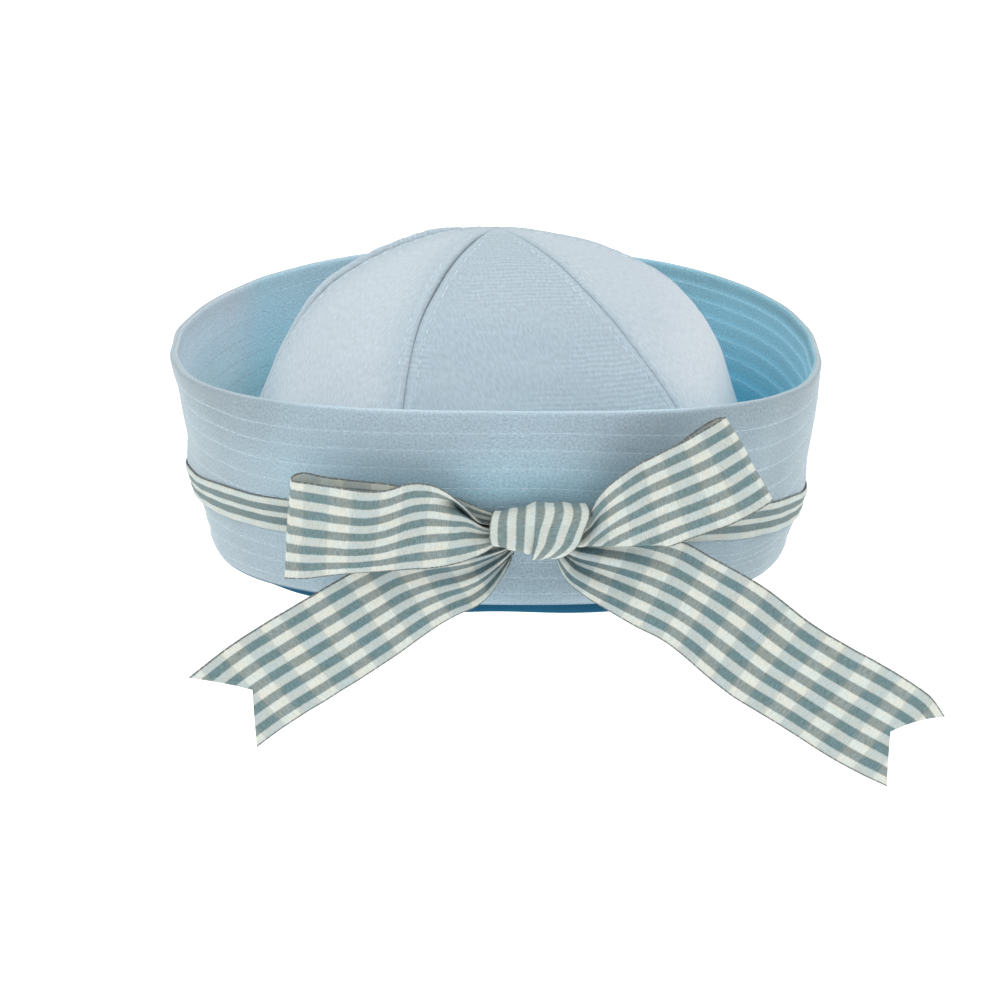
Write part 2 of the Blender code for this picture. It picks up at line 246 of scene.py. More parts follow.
# Creases of a loop's front layer: place across the ribbon at the knot (0 is the lower
# edge), how much it climbs towards the end fold, depth, width as a share of the
# ribbon's, and the shares of the loop's length where it starts to fade and ends.
Crease = namedtuple("Crease", "across climb depth width start end")
LEFT_CREASES = (
    Crease(0.79, 0.02, 5.6, 0.090, 0.15, 0.38),
    Crease(0.60, 0.05, -0.9, 0.110, 0.05, 0.50),
    Crease(0.36, 0.06, 1.2, 0.060, 0.02, 0.40),
    Crease(0.14, 0.10, -0.8, 0.090, 0.05, 0.45),
    Crease(0.75, -0.25, 1.2, 0.220, 0.55, 1.05),
)
RIGHT_CREASES = (
    Crease(0.88, 0.06, -1, 0.080, 0.02, 0.55),
    Crease(0.74, 0.04, 1.2, 0.060, 0.02, 0.45),
    Crease(0.56, 0.04, -0.8, 0.090, 0.05, 0.60),
    Crease(0.46, 0.02, 1, 0.050, 0.02, 0.50),
)
# Below this line the right loop is rolled under, close to the knot: x and z.
ROLL_LINE = np.array([
    (18, 29.6), (34.7, 31.3), (44.3, 31.8), (51, 32), (58, 30.6), (66, 28),
])
ROLL_RADIUS = 1.3

# Edges of the two tails, from the knot to the tips of the swallow tail.
LEFT_TAIL = Edges(
    top=np.array([
        (6, -102.5, 29), (-8.1, -103, 27), (-23.7, -102.4, 26), (-36, -101.5, 23.6),
        (-44.8, -101, 19), (-58.2, -100, 10.4), (-82.4, -97.5, -6), (-97, -95.5, -18.4),
    ]),
    bottom=np.array([
        (5, -103, 25.5), (3.4, -103.4, 21.5), (1, -103.6, 17), (-2.2, -103.5, 12.2),
        (-7, -103, 8), (-11.3, -102.5, 5.8), (-16.1, -102, 2.8), (-31.1, -100, -9),
        (-51.9, -97.5, -23.5), (-64, -96, -32.2), (-75.9, -94.5, -41.8),
    ]),
)
RIGHT_TAIL = Edges(
    top=np.array([
        (20, -102.5, 30.2), (36, -102.2, 32.2), (50, -101.6, 31.6), (59.7, -101, 28.6),
        (68, -100.2, 23.4), (81.5, -98, 14.6), (100.4, -93.5, -1), (113, -89.5, -10.1),
        (125.7, -85, -19.4), (134.2, -82, -26.1), (139.2, -79.6, -30.6), (143.9, -77, -38),
    ]),
    bottom=np.array([
        (19, -103, 25), (20.2, -103.5, 20.6), (22.2, -103.6, 16.6), (26.4, -103.4, 12.8),
        (35.1, -102.5, 6.7), (44, -101.5, 1.1), (52.1, -100, -3.8), (57.8, -98.5, -8.6),
        (65.2, -97, -15.9), (73.4, -95, -23.5), (89.1, -91, -35.3), (110.1, -85, -50.7),
        (125.2, -80.5, -60.3),
    ]),
)
TAIL_GATHER, TAIL_FOLDS = 1.3, 2.5  # height and number of a tail's folds at the knot
TAIL_NOTCH = 13              # depth of the swallow tail

# The knot: a ribbon wrapped round the loops.  Each row is an angle round the wrap, 90 at
# the top and -90 below, then the x of the twelve edges of its eleven stripes there.
KNOT_CENTRE = np.array((13.6, -104.7, 33.2))
KNOT_HALF_DEPTH = 7.4
KNOT_SQUARENESS = 2.5
KNOT_ROLL = (0.8, 6.4, 0.9)  # height, stripe number and width of a soft roll,
KNOT_CREASE = (-1.4, 5.2, 0.55)  # and of the crease beside it
KNOT_STRIPES = np.array([
    (180, -11, -9, -7, -5, -3, -1, 1, 3, 5, 7, 9, 11),
    (90, -14.6, -12.2, -9.6, -6.9, -4.1, -1.3, 1.5, 4.3, 7, 9.8, 12.4, 14.8),
    (50, -15.4, -12.9, -10.1, -7.3, -4.4, -1.4, 1.5, 4.4, 7.3, 10.2, 12.9, 15.5),
    (0, -15.7, -13.1, -10.2, -7.4, -4.8, -1.9, -0.6, 1.9, 4.9, 7.6, 10.4, 12.8),
    (-40, -14.6, -12.6, -10.2, -7.6, -5, -2.4, -2, -0.9, 1.3, 3.6, 6, 8.6),
    (-75, -12.6, -11.2, -9.3, -6.9, -4.4, -2.5, -2.2, -1.7, -0.6, 1, 2.8, 4.5),
    (-130, -10.5, -9.2, -7.4, -5.4, -3.4, -1.6, -0.6, 0.8, 2.4, 4.2, 5.8, 7.4),
    (-180, -11, -9, -7, -5, -3, -1, 1, 3, 5, 7, 9, 11),
])
# Height of the knot above and below its middle, at the same twelve edges.
KNOT_TOPS = (6.5, 6.9, 7.3, 7.4, 8.8, 9.6, 9.6, 9.5, 9.4, 9.3, 9.2, 8.9)
KNOT_BOTTOMS = (3.4, 4, 4.4, 4.9, 6.2, 7, 7.5, 7.8, 8, 8.1, 8, 7.6)

# --------------------------------------------------------------------- sewing thread
# From one stitch to the next, and the share of that which is thread.
CROWN_STITCHES = (3.8, 0.76)
BRIM_STITCHES = (3.3, 0.96)
# Rings of a stitch: share of its length, height above the cloth, radius.
STITCH_RINGS = np.array([
    (0, -0.14, 0.0475), (0.12, -0.042, 0.1615), (0.5, 0.11, 0.19), (0.88, -0.042, 0.1615),
    (1, -0.14, 0.0475),
])

# ---------------------------------------------------------------------- the picture
CAMERA_ELEVATION = 18
CAMERA_DISTANCE = 1600
CAMERA_TARGET = (1.23, 2.91, 8.97)
CAMERA_LENS = 172.8
FLOOR_HEIGHT = -330
FLOOR_HALF_SIZE = 9000
FLOOR_GLOW = 0.42            # light that the white floor adds of its own
SKY_COLOUR = (0.95, 0.985, 1)
SKY_LEVEL = 1.00             # brightness of the studio at eye level, and overhead
SKY_OVERHEAD = 0.75
# Lamps: name, place in metres, power in watts, breadth in metres, tint.
LAMPS = (
    ("left lamp", (-1.2, -0.4, 1.1), 8.5, 1.4, (1, 0.965, 0.90)),
    ("right lamp", (1.2, -0.4, 1.1), 7.5, 1.4, (1, 0.965, 0.90)),
)

# Inputs of the shared node groups, with their defaults, and the ribbon's five colours.
WEAVE_INPUTS = {"Pitch mm": 0.6, "Twill": 0, "Slant": 0.4, "Grain": 0.5, "Grain length": 1}
TONE_INPUTS = {"Patches": 0.1, "Drift": 0.1, "Threads": 0.3, "Gaps": 0.1, "Wear and painted shading": 0.1}
RIBBON_DYES = ("Cream", "Pale", "Grey", "Slate", "Edge")
WHITE = (1, 1, 1)


# ============================================================================ maths
def spline(knots, values, places):
    """Smooth curve through a table's rows at its knots: in each span a cubic Hermite
    curve, whose end slopes come from the neighbouring rows.
    """
    slopes = np.gradient(values, knots, axis=0)
    places = np.clip(places, knots[0], knots[-1])
    span = np.clip(np.searchsorted(knots, places, side="right") - 1, 0, len(knots) - 2)
    width = (knots[span + 1] - knots[span])[..., None]
    share = (places - knots[span])[..., None] / width
    square, cube = share ** 2, share ** 3
    return (
        (2 * cube - 3 * square + 1) * values[span]
        + (cube - 2 * square + share) * width * slopes[span]
        + (3 * square - 2 * cube) * values[span + 1]
        + (cube - square) * width * slopes[span + 1]
    )


def lengths_along(points):
    """Distance from the first point to each point of a path."""
    steps = np.linalg.norm(np.diff(points, axis=0), axis=-1)
    return np.concatenate([np.zeros_like(steps[:1]), np.cumsum(steps, axis=0)])


def lengths_round(points):
    """Distances along a path that closes on itself, with its whole length last."""
    return lengths_along(np.concatenate([points, points[:1]]))


def interp_rows(places, knots, rows):
    """Straight interpolation of every column of a table."""
    return np.stack([np.interp(places, knots, column) for column in rows.T], axis=-1)


def along(table, shares):
    """Rows on the smooth curve through a table, at shares from 0 to 1 of its length."""
    knots = lengths_along(table)
    return spline(knots / knots[-1], table, shares)


def unit(vectors):
    """Vectors of length 1, but a vector of no length stays as it is."""
    return vectors / np.maximum(np.linalg.norm(vectors, axis=-1, keepdims=True), 1e-12)


def line_frame(line):
    """Unit tangents of a line in a plane, and the unit normals on its right."""
    tangent = unit(np.gradient(line, axis=0))
    return tangent, np.stack([tangent[:, 1], -tangent[:, 0]], axis=-1)


def bell(distance, width):
    """1 at distance 0, falling smoothly to nothing at about twice the width."""
    return np.exp(-(distance / width) ** 2)


def waves(azimuth, table, level=0):
    """A level with sine waves round the cap: each row is a height, a count and a phase."""
    return sum((high * np.sin(count * azimuth + phase) for high, count, phase in table), level)


def raised(distance, form):
    """A bell of a height, place and width, at a distance."""
    height, place, width = form
    return height * bell(distance - place, width)


def ease(value, start, end):
    """0 before start, 1 after end, and a smooth step between."""
    share = np.clip((value - start) / (end - start), 0, 1)
    return share * share * (3 - 2 * share)


def turn_between(azimuth, degrees):
    """The turn from a place in degrees to an azimuth, from minus half a turn to half."""
    return (azimuth - np.radians(degrees) + np.pi) % FULL_TURN - np.pi


def unevenness(points, wavelength, seed, waves=8):
    """Soft lumps of a cloth, about from -1 to 1: a sum of plane waves through space.

    Each wave is the sine of a point's distance along a seeded direction.
    """
    random = np.random.default_rng(seed)
    total = np.zeros(points.shape[:-1])
    for _ in range(waves):
        direction = unit(random.normal(size=3))
        length = wavelength * random.uniform(0.7, 1.5)
        phase = random.uniform(0, FULL_TURN)
        total += np.sin(points @ direction * (FULL_TURN / length) + phase)
    return total / math.sqrt(waves)


def grid_normals(points, wrap=False):
    """Unit normals of a grid: the cross product of its column and row directions.

    Where columns meet in a point, the row before gives the normals.
    """
    across = np.gradient(points, axis=1)
    if wrap:
        across = np.roll(points, -1, axis=1) - np.roll(points, 1, axis=1)
    crossed = np.cross(across, np.gradient(points, axis=0))
    normals = unit(crossed)
    flat = np.linalg.norm(crossed, axis=-1) < 1e-7
    for row in np.nonzero(flat.any(axis=1))[0]:
        normals[row, flat[row]] = normals[row - 1, flat[row]] if row else (0, 0, -1)
    return normals


# =========================================================================== meshes
def grid_faces(rows, columns, wrap_rows=False, wrap_columns=False):
    """The grid places (row, column) of the four corners of each quad, shape (n, 4, 2).

    A place past the last row or column means the first one, after a full turn.
    """
    row, column = np.mgrid[:rows - (not wrap_rows), :columns - (not wrap_columns)]
    corners = [(row, column), (row, column + 1), (row + 1, column + 1), (row + 1, column)]
    return np.stack([np.stack(corner, axis=-1).reshape(-1, 2) for corner in corners], axis=1)


def add_mesh(name, points, faces, corner_uv, attributes):
    """A smooth mesh in metres from millimetres, with a UV map in metres and attributes."""
    mesh = bpy.data.meshes.new(name)
    mesh.from_pydata((points.reshape(-1, 3) * MM).tolist(), [], faces.tolist())
    layer = mesh.uv_layers.new(name="cloth")
    layer.data.foreach_set("uv", (corner_uv * MM).astype(np.float32).ravel())
    for key, values in attributes.items():
        layer = mesh.attributes.new(key, "FLOAT", "POINT")
        values = np.broadcast_to(values, points.shape[:-1])
        layer.data.foreach_set("value", values.astype(np.float32).ravel())
    mesh.shade_smooth()
    return mesh


def closed_grid(name, points, uv, **attributes):
    """A solid ring whose grid closes on itself both ways.

    uv has one more row and column than points, because the map doesn't close.
    """
    rows, columns = points.shape[:2]
    row, column = np.moveaxis(grid_faces(rows, columns, True, True), -1, 0)
    faces = row % rows * columns + column % columns
    return add_mesh(name, points, faces, uv[row, column], attributes)


def ring_map(azimuth, travelled):
    """Cloth coordinates of a ring: distance round the cap, and round the ring's section."""
    turned = np.append(azimuth, FULL_TURN)[None] * FOLD_HALF_WIDTH
    return np.stack(np.broadcast_arrays(turned, travelled[:, None]), axis=-1)


def shell(name, outer, wall, uv, wrap=False, **attributes):
    """A closed sheet: a grid, a second one a wall's thickness behind it, and the strips
    that join their free edges.  With wrap, the columns run round a full turn.
    """
    rows, columns = outer.shape[:2]
    faces, maps = [], []

    def take(layers, places):
        """Add quads at grid places, each corner on the outer layer 0 or the inner one 1."""
        row, column = places[..., 0], places[..., 1]
        faces.append(np.array(layers) * rows * columns + row * columns + column % columns)
        maps.append(uv[row, column])

    front = grid_faces(rows, columns, False, wrap)
    take((0, 0, 0, 0), front)
    take((1, 1, 1, 1), front[:, ::-1])
    row, column = np.arange(rows - 1), np.arange(columns - (not wrap))
    last_row, last = rows - 1, columns - 1
    edges = [((0, column + 1), (0, column)), ((last_row, column), (last_row, column + 1))]
    if not wrap:
        edges += [((row, 0), (row + 1, 0)), ((row + 1, last), (row, last))]
    for edge in edges:
        a, b = (np.stack(np.broadcast_arrays(*end), axis=-1) for end in edge)
        take((0, 0, 1, 1), np.stack([a, b, b, a], axis=1))
    points = np.stack([outer, outer - grid_normals(outer, wrap) * wall])
    return add_mesh(name, points, np.concatenate(faces), np.concatenate(maps), attributes)


def merge_poles(mesh):
    """Make one vertex of those that meet, as where a gore ends in a point."""
    cloth = bmesh.new()
    cloth.from_mesh(mesh)
    bmesh.ops.remove_doubles(cloth, verts=cloth.verts, dist=1e-7)
    cloth.to_mesh(mesh)
    cloth.free()
    mesh.shade_smooth()


def show(mesh, maker, slot, *nodes):
    """Put a finished mesh in the scene as a piece of the cap.

    Its material is the one that maker gives, which is made once.
    """
    scene = bpy.context.scene
    name = maker.__name__.replace("_", " ")
    mesh.materials.append(bpy.data.materials.get(name) or maker(scene.cap_colours))
    piece = bpy.data.objects.new(mesh.name, mesh)
    scene.collection.objects.link(piece)
    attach(piece, "root")
    if nodes:
        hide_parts(*nodes)
    return piece


def show_ribbon(mesh, node_name, length, held, *under):
    """Show a piece of the ribbon in place of its node; its length and how it is held are not
    used.
    """
    piece = show(mesh, gingham_ribbon, "gingham_ribbon", node_name)


def stitch_mesh(name, paths, pitch, share):
    """Stitches along paths, each given as its points and the cloth's normals there.

    A stitch is a rod of six sides round the line between two places on the path, with
    the rings of its table: its ends are thin and dip into the cloth.
    """
    starts, ends, ups = [], [], []
    for points, normals in paths:
        travelled = lengths_along(points)
        first = np.arange(0.5, travelled[-1] - pitch, pitch)
        starts.append(interp_rows(first, travelled, points))
        ends.append(interp_rows(first + pitch * share, travelled, points))
        ups.append(interp_rows(first + pitch * share / 2, travelled, normals))
    start, end, up = (np.concatenate(each)[:, None] for each in (starts, ends, ups))
    ahead = unit(end - start)
    aside = np.cross(ahead, unit(up))
    up = np.cross(aside, ahead)
    shares, rises, radii = STITCH_RINGS.T[..., None]
    turns = np.arange(6)[:, None] * FULL_TURN / 6
    centres = start + (end - start) * shares + up * rises
    rims = aside[:, None] * np.cos(turns) + up[:, None] * np.sin(turns)
    vertices = centres[:, :, None] + rims * radii[..., None]
    count, rings, sides = vertices.shape[:3]
    places = grid_faces(rings, sides, False, True)[:, ::-1]
    begins = np.arange(count)[:, None] * rings * sides
    tube = begins[..., None] + places[..., 0] * sides + places[..., 1] % sides
    cap = begins + np.arange(sides)
    faces = [tube.reshape(-1, 4), cap, cap[:, ::-1] + (rings - 1) * sides]
    mesh = bpy.data.meshes.new(name)
    faces = [face for group in faces for face in group.tolist()]
    mesh.from_pydata((vertices.reshape(-1, 3) * MM).tolist(), [], faces)
    mesh.shade_smooth()
    return mesh


# ===================================================================== shape of the cap
def squared(value, squareness):
    """A sine or cosine to the power of 2 / squareness, with its sign kept."""
    return np.sign(value) * np.abs(value) ** (2 / squareness)


def oval(azimuth, half_width, half_depth, squareness):
    """x and y of a superellipse, from the squared sine and cosine."""
    x = half_width * squared(np.sin(azimuth), squareness)
    return x, -half_depth * squared(np.cos(azimuth), squareness)


def lift(azimuth):
    """Height of the head opening's edge: twice a turn up and down, and a lean."""
    return SADDLE * np.cos(2 * azimuth) - LEAN * np.sin(azimuth)


def share_below_apex(height):
    """1 at the crown's foot and 0 at its apex."""
    return np.clip((CROWN_TOP - height) / (CROWN_TOP - CROWN_FOOT), 0, 1)


def seam_azimuth(number, below):
    """A seam's azimuth: its foot's, and over the upper crown it drifts to its apex's."""
    turns, number = divmod(number, len(SEAMS))
    seam = SEAMS[number]
    share = np.minimum(below / seam.drift, 1)
    return np.radians(seam.apex + (seam.foot - seam.apex) * share) + FULL_TURN * turns


def gores_passed(azimuth, below):
    """How many gores lie between the first seam and an azimuth, parts included."""
    seams = [seam_azimuth(number, below) for number in range(len(SEAMS) + 1)]
    turned = (azimuth - seams[0]) % FULL_TURN + seams[0]
    return sum(np.clip((turned - a) / (b - a), 0, 1) for a, b in zip(seams, seams[1:]))


def crown_ring(azimuth, rows):
    """Points of the crown: an oval that turns round towards the apex and slopes back.

    It swells by a cosine of the place between two seams, most at the seams.
    """
    height, half_width, shift, set_back = np.moveaxis(rows, -1, 0)
    below = share_below_apex(height)
    half_depth = np.maximum(half_width - (FOLD_HALF_WIDTH - FOLD_HALF_DEPTH) * below, 0)
    swell = CORNER_RISE * np.sin(np.pi * np.clip(height / CROWN_TOP, 0, 1))
    corners = 1 + swell * np.cos(FULL_TURN * gores_passed(azimuth, below))
    squareness = APEX_SQUARENESS + (FOOT_SQUARENESS - APEX_SQUARENESS) * below
    x, y = oval(azimuth, half_width * corners, half_depth * corners, squareness)
    slope = BACK_SLOPE * (1 - below) ** BACK_SLOPE_POWER
    z = height + lift(azimuth) * below - slope * y
    return np.stack([x + shift, y + set_back, z], axis=-1)


def crown_surface(azimuth, share):
    """Crown points at an azimuth and a share of the way from the foot to the apex."""
    return crown_ring(azimuth, along(CROWN_TABLE, share))


def crown_normals(azimuth, share):
    """Unit normals of the crown, from points a small step around and up from each."""
    step = 1e-3
    around = crown_surface(azimuth + step, share) - crown_surface(azimuth - step, share)
    lower, higher = np.clip(share - step, 0, 1), np.clip(share + step, 0, 1)
    upward = crown_surface(azimuth, higher) - crown_surface(azimuth, lower)
    crossed = np.cross(around, upward)
    size = np.linalg.norm(crossed, axis=-1, keepdims=True)
    return np.where(size > 1e-9, unit(crossed), (0, 0, 1))


def seam_strength(share):
    """1 over most of the crown, fading to 0 just below the apex."""
    return 1 - ease(share, *SEAM_FADE)


def upper_part(share):
    """0 on the lower crown and 1 on the upper, where the seams are tighter."""
    return ease(share, *SEAM_TIGHTENS)


def gore_relief(points, near, number, share, draw, rolled):
    """Height of a gore's cloth above the plain crown, by its distance from a seam.

    A low ridge lies over the seam's allowance, the topstitching presses a channel, the
    seam draws it in, small puckers run beside it, and the rest has soft lumps.  One edge
    is rolled, where rolled is 1.
    """
    waver = 3 * unevenness(points, 30, 11 + number)
    pucker = np.sin(share * CROWN_LENGTH * FULL_TURN / PUCKER_LENGTH + waver)
    draw = draw * (0.2 + 0.8 * upper_part(share))
    seam = raised(near, ALLOWANCE_RIDGE) + raised(near, STITCH_CHANNEL)
    seam = seam + rolled * raised(near, EDGE_ROLL) + pucker * raised(near, PUCKER_STRIP)
    shoulder = np.linalg.norm(points - LEFT_SHOULDER, axis=-1)
    return (
        seam_strength(share) * (seam - draw * bell(near, 1.5))
        + SHOULDER_RISE * bell(shoulder, SHOULDER_SPREAD)
        + 0.16 * unevenness(points, 17, 5) * ease(near, 1, 8)
        + 0.8 * unevenness(points, 60, 8) * ease(near, 0, 24)
    )


def gore_surface(number, share, distance, drop):
    """Points of a gore, at a distance from its first seam and sunk by a drop.

    Distances up to EDGE_ZONE are millimetres from the first seam, the next 1 runs over
    the gore's middle, and the rest are millimetres again, to the second seam.  Near the
    apex they shrink with the gore's width.  Returns the points, the crown's normals, the
    distance to the nearer seam and how dark that seam's painted groove shade is, the
    distance from the first one and the gore's width.
    """
    below = share_below_apex(along(CROWN_TABLE, share)[..., 0])
    start, end = seam_azimuth(number, below), seam_azimuth(number + 1, below)
    samples = crown_surface(start + (end - start) * np.linspace(0, 1, 25), share)
    width = lengths_along(np.moveaxis(samples, 1, 0))[-1][:, None]
    scale = np.clip(width / (2 * EDGE_ZONE + 6), 0, 1)
    middle = EDGE_ZONE * scale + (width - 2 * EDGE_ZONE * scale) * (distance - EDGE_ZONE)
    reach = np.where(distance <= EDGE_ZONE, distance * scale, middle)
    mirrored = 2 * EDGE_ZONE + 1 - distance
    reach = np.where(mirrored <= EDGE_ZONE, width - mirrored * scale, reach)
    azimuth = start + (end - start) * reach / np.maximum(width, 1e-9)
    points, normals = crown_surface(azimuth, share), crown_normals(azimuth, share)
    first_half = reach < width - reach
    first, second = SEAMS[number], SEAMS[(number + 1) % len(SEAMS)]
    draw = np.where(first_half, first.draw, second.draw)
    dark = np.where(first_half, first.dark, second.dark)
    near = np.minimum(reach, width - reach) / np.maximum(scale, 1e-9)
    near = np.maximum(near, 0)
    rolled = (number == ROLLED_GORE) * ~first_half * (1 - ease(below, 0.17, 0.36))
    sunk = (gore_relief(points, near, number, share, draw, rolled) - drop) * scale
    return points + normals * sunk[..., None], normals, near, dark, reach, width


def gore_columns():
    """Distances and drops of a gore's columns: turned-in edge, rolled edge, strip beside
    the seam, middle, and the same mirrored.
    """
    roll = np.radians(np.linspace(90, 15, 5))
    turned = SEAM_CLEARANCE + SEAM_ROLL * (1 - np.sin(roll)), SEAM_ROLL * (1 - np.cos(roll))
    side = [(SEAM_CLEARANCE, SEAM_ROLL + depth) for depth in ALLOWANCE_DEPTHS]
    side += [*zip(*turned)] + [(distance, 0) for distance in STRIP_COLUMNS]
    middle = [(EDGE_ZONE + share, 0) for share in np.linspace(0, 1, 27)]
    mirrored = [(2 * EDGE_ZONE + 1 - distance, drop) for distance, drop in side[::-1]]
    return np.array(side + middle + mirrored).T


def band_middle(azimuth):
    """Height of the ribbon band's middle: a raised cosine from the back to the knot, less
    its sags, and a tilt.
    """
    rise = ((1 + np.cos(azimuth)) / 2) ** BAND_RISE_SHARPNESS
    middle = BAND_HEIGHT_BACK + (BAND_HEIGHT_FRONT - BAND_HEIGHT_BACK) * rise
    for centre, reach, sag, _ in BAND_SAGS:
        middle = middle - sag * bell(turn_between(azimuth, centre), reach)
    return middle - BAND_TILT * np.sin(azimuth)


# The middle of the brim's wall, closely sampled: rows of the table, length along it, and
# its unit tangents and normals in the plane of flare and height.
BRIM_ROWS = along(BRIM_TABLE, np.linspace(0, 1, 600))
BRIM_LENGTHS = lengths_along(BRIM_ROWS[:, [1, 0]])
BRIM_TANGENTS, BRIM_NORMALS = line_frame(BRIM_ROWS[:, [1, 0]])
FOLD_ROW = int(np.argmax(BRIM_ROWS[:, 1] > 1.1))     # from here on the wall rises


def brim_place(height):
    """Length along the brim's line, from the lip, to a height on its wall."""
    return np.interp(height, BRIM_ROWS[FOLD_ROW:, 0], BRIM_LENGTHS[FOLD_ROW:])


CROWN_LENGTH = lengths_along(CROWN_TABLE[:, :2])[-1]
RIM_PLACE = BRIM_LENGTHS[-1] - BRIM_WALL / 2 - RIM_BULGE
WALL_PLACE = BRIM_LENGTHS[FOLD_ROW]
FOLD_SHADOW_PLACE = 0.72 * WALL_PLACE       # the fold's underside is painted dark, as its shadow, up to about here
STITCH_ROWS = brim_place(STITCH_ROW_HEIGHTS)


def brim_relief(place, azimuth, side):
    """How far the brim's cloth stands off its plain wall: it is drawn in at each row of
    stitching, puckers along them, thickens at the rim, and is joined at the back.
    """
    relief = RIM_BULGE * bell(place - RIM_PLACE, 2.6)
    for number, row in enumerate(STITCH_ROWS):
        near = place - row
        waves = azimuth * (131 + 7 * number) + 2.5 * np.sin(azimuth * (9 + number)) + side
        groove = 0.09 + 0.02 * side
        relief = relief - groove * bell(near, 0.42) + 0.05 * np.sin(waves) * bell(near, 1.4)
    arc = (azimuth - np.pi) * FOLD_HALF_DEPTH
    return relief - 0.55 * bell(arc, 0.6) + 0.25 * bell(np.abs(arc) - 2, 1.6)


def row_wander(place, azimuth):
    """How far a row of stitching strays up the wall: a level and a slope from a smooth
    curve round the cap, the slope times the depth below the rim, and nothing at the rim
    and low on the wall.
    """
    around = np.degrees(turn_between(azimuth, 0))
    level, slope = np.moveaxis(spline(STRAY_TABLE[:, 0], STRAY_TABLE[:, 1:], around), -1, 0)
    down = RIM_PLACE - place
    return (level + slope * down) * ease(down, 0, 5) * (1 - ease(down, 34, 60))


def brim_surface(azimuth, place, outward, upward):
    """Points of the brim, at a length along its middle line and an azimuth, moved
    outward along the line's normal and upward along its tangent.

    Soft lumps, the dents of the two sides and the band's pinch move them across the wall.
    """
    height, flare, squareness = np.moveaxis(interp_rows(place, BRIM_LENGTHS, BRIM_ROWS), -1, 0)
    shift = interp_rows(place, BRIM_LENGTHS, BRIM_NORMALS) * outward[..., None]
    shift = shift + interp_rows(place, BRIM_LENGTHS, BRIM_TANGENTS) * upward[..., None]
    depth_flare = np.where(flare > 0, flare * DEPTH_FLARE, flare)
    half_width = FOLD_HALF_WIDTH + flare + shift[..., 0]
    half_depth = FOLD_HALF_DEPTH + depth_flare + shift[..., 0]
    x, y = oval(azimuth, half_width, half_depth, squareness)
    points = np.stack([x, y, height + shift[..., 1] + lift(azimuth)], axis=-1)
    level = points * (1, 1, 0.35)
    bend = 0.9 * ease(place, WALL_PLACE, RIM_PLACE) * unevenness(level, 90, 21)
    bend = bend + 0.2 * ease(place, 2, 9) * unevenness(level, 22, 4)
    left, right = (bell(azimuth - side, DENT_WIDTH) for side in (LEFT_SIDE, LEFT_SIDE - np.pi))
    dents = spline(SIDE_DENTS[:, 0], SIDE_DENTS[:, 1:], height)
    dent = LEFT_DENT * ease(height, 5, 17) * (1 - ease(height, 54, 66)) + dents[..., 0]
    bend = bend - left * dent - right * dents[..., 1]
    bend = bend - BAND_PINCH * bell(height - band_middle(azimuth), 5.5)
    moved = [np.sin(azimuth) * bend, -np.cos(azimuth) * bend, 0 * bend]
    return points + np.stack(moved, axis=-1)


def brim_skin(azimuth, place, side, rising):
    """Points of the brim's cloth: half a wall, and its relief, from the middle line.

    side is 1 outside and -1 inside, or the cosine of the angle round the rim, and
    rising is that angle's sine.
    """
    thick = BRIM_WALL / 2 + brim_relief(place, azimuth, side)
    strayed = place + row_wander(place, azimuth)
    return brim_surface(azimuth, strayed, side * thick, rising * thick)


def brim_places():
    """Lengths along the brim's line at which its walls have a ring of points."""
    near = STITCH_ROWS[:, None] + (-0.95, -0.42, 0, 0.42, 0.95)
    between = STITCH_ROWS[:-1, None] + np.diff(STITCH_ROWS)[:, None] * (0.36, 0.64)
    lower = np.linspace(0, STITCH_ROWS[0] - 1.5, 11)
    upper = np.linspace(STITCH_ROWS[-1] + 2.2, RIM_PLACE, 6)
    return np.sort(np.concatenate([lower, near.ravel(), between.ravel(), upper]))


def brim_azimuths():
    """Azimuths of the brim's columns: even, and closer at the seam at the back."""
    even = np.linspace(0, FULL_TURN, 540, endpoint=False)
    close = np.array((-1.3, -0.9, -0.5, -0.25, 0, 0.25, 0.5, 0.9, 1.3))
    even = even[np.abs(even - np.pi) > 1.7 / FOLD_HALF_DEPTH]
    return np.sort(np.concatenate([even, np.pi + close / FOLD_HALF_DEPTH]))


def knot_points(angle, stripe):
    """Points of the knot: round the wrap by an angle in degrees, 90 at the top and 0 in
    front, and across it by a stripe number from 0 to 11.

    x comes from the stripes' edges, y and z from a squared ellipse round the loops.
    """
    edges = spline(-KNOT_STRIPES[:, 0], KNOT_STRIPES[:, 1:], -angle)
    whole = np.clip(np.floor(stripe).astype(int), 0, STRIPE_COUNT - 1)[..., None]
    before = np.take_along_axis(edges, whole, -1)[..., 0]
    after = np.take_along_axis(edges, whole + 1, -1)[..., 0]
    x = before + (after - before) * (stripe - whole[..., 0])
    folded = ease(angle, 55, -20) * ease(angle, -178, -120)
    grow = folded * (raised(stripe, KNOT_ROLL) + raised(stripe, KNOT_CREASE))
    grow = grow + 0.26 * np.cos(stripe * FULL_TURN / 2.75 + 0.6)
    half_depth = KNOT_HALF_DEPTH * (1 - 0.16 * np.abs(stripe / 5.5 - 1) ** 3) + grow
    numbers = np.arange(STRIPE_COUNT + 1)
    above, beneath = (np.interp(stripe, numbers, each) for each in (KNOT_TOPS, KNOT_BOTTOMS))
    turn = np.radians(angle)
    half_height = np.where(np.sin(turn) > 0, above, beneath) + grow
    y = -half_depth * squared(np.cos(turn), KNOT_SQUARENESS)
    z = half_height * squared(np.sin(turn), KNOT_SQUARENESS)
    points = np.stack([x, y, z], axis=-1) + KNOT_CENTRE
    return points + 0.15 * unevenness(points, 6, 31)[..., None] * (0, -1, 0.3)


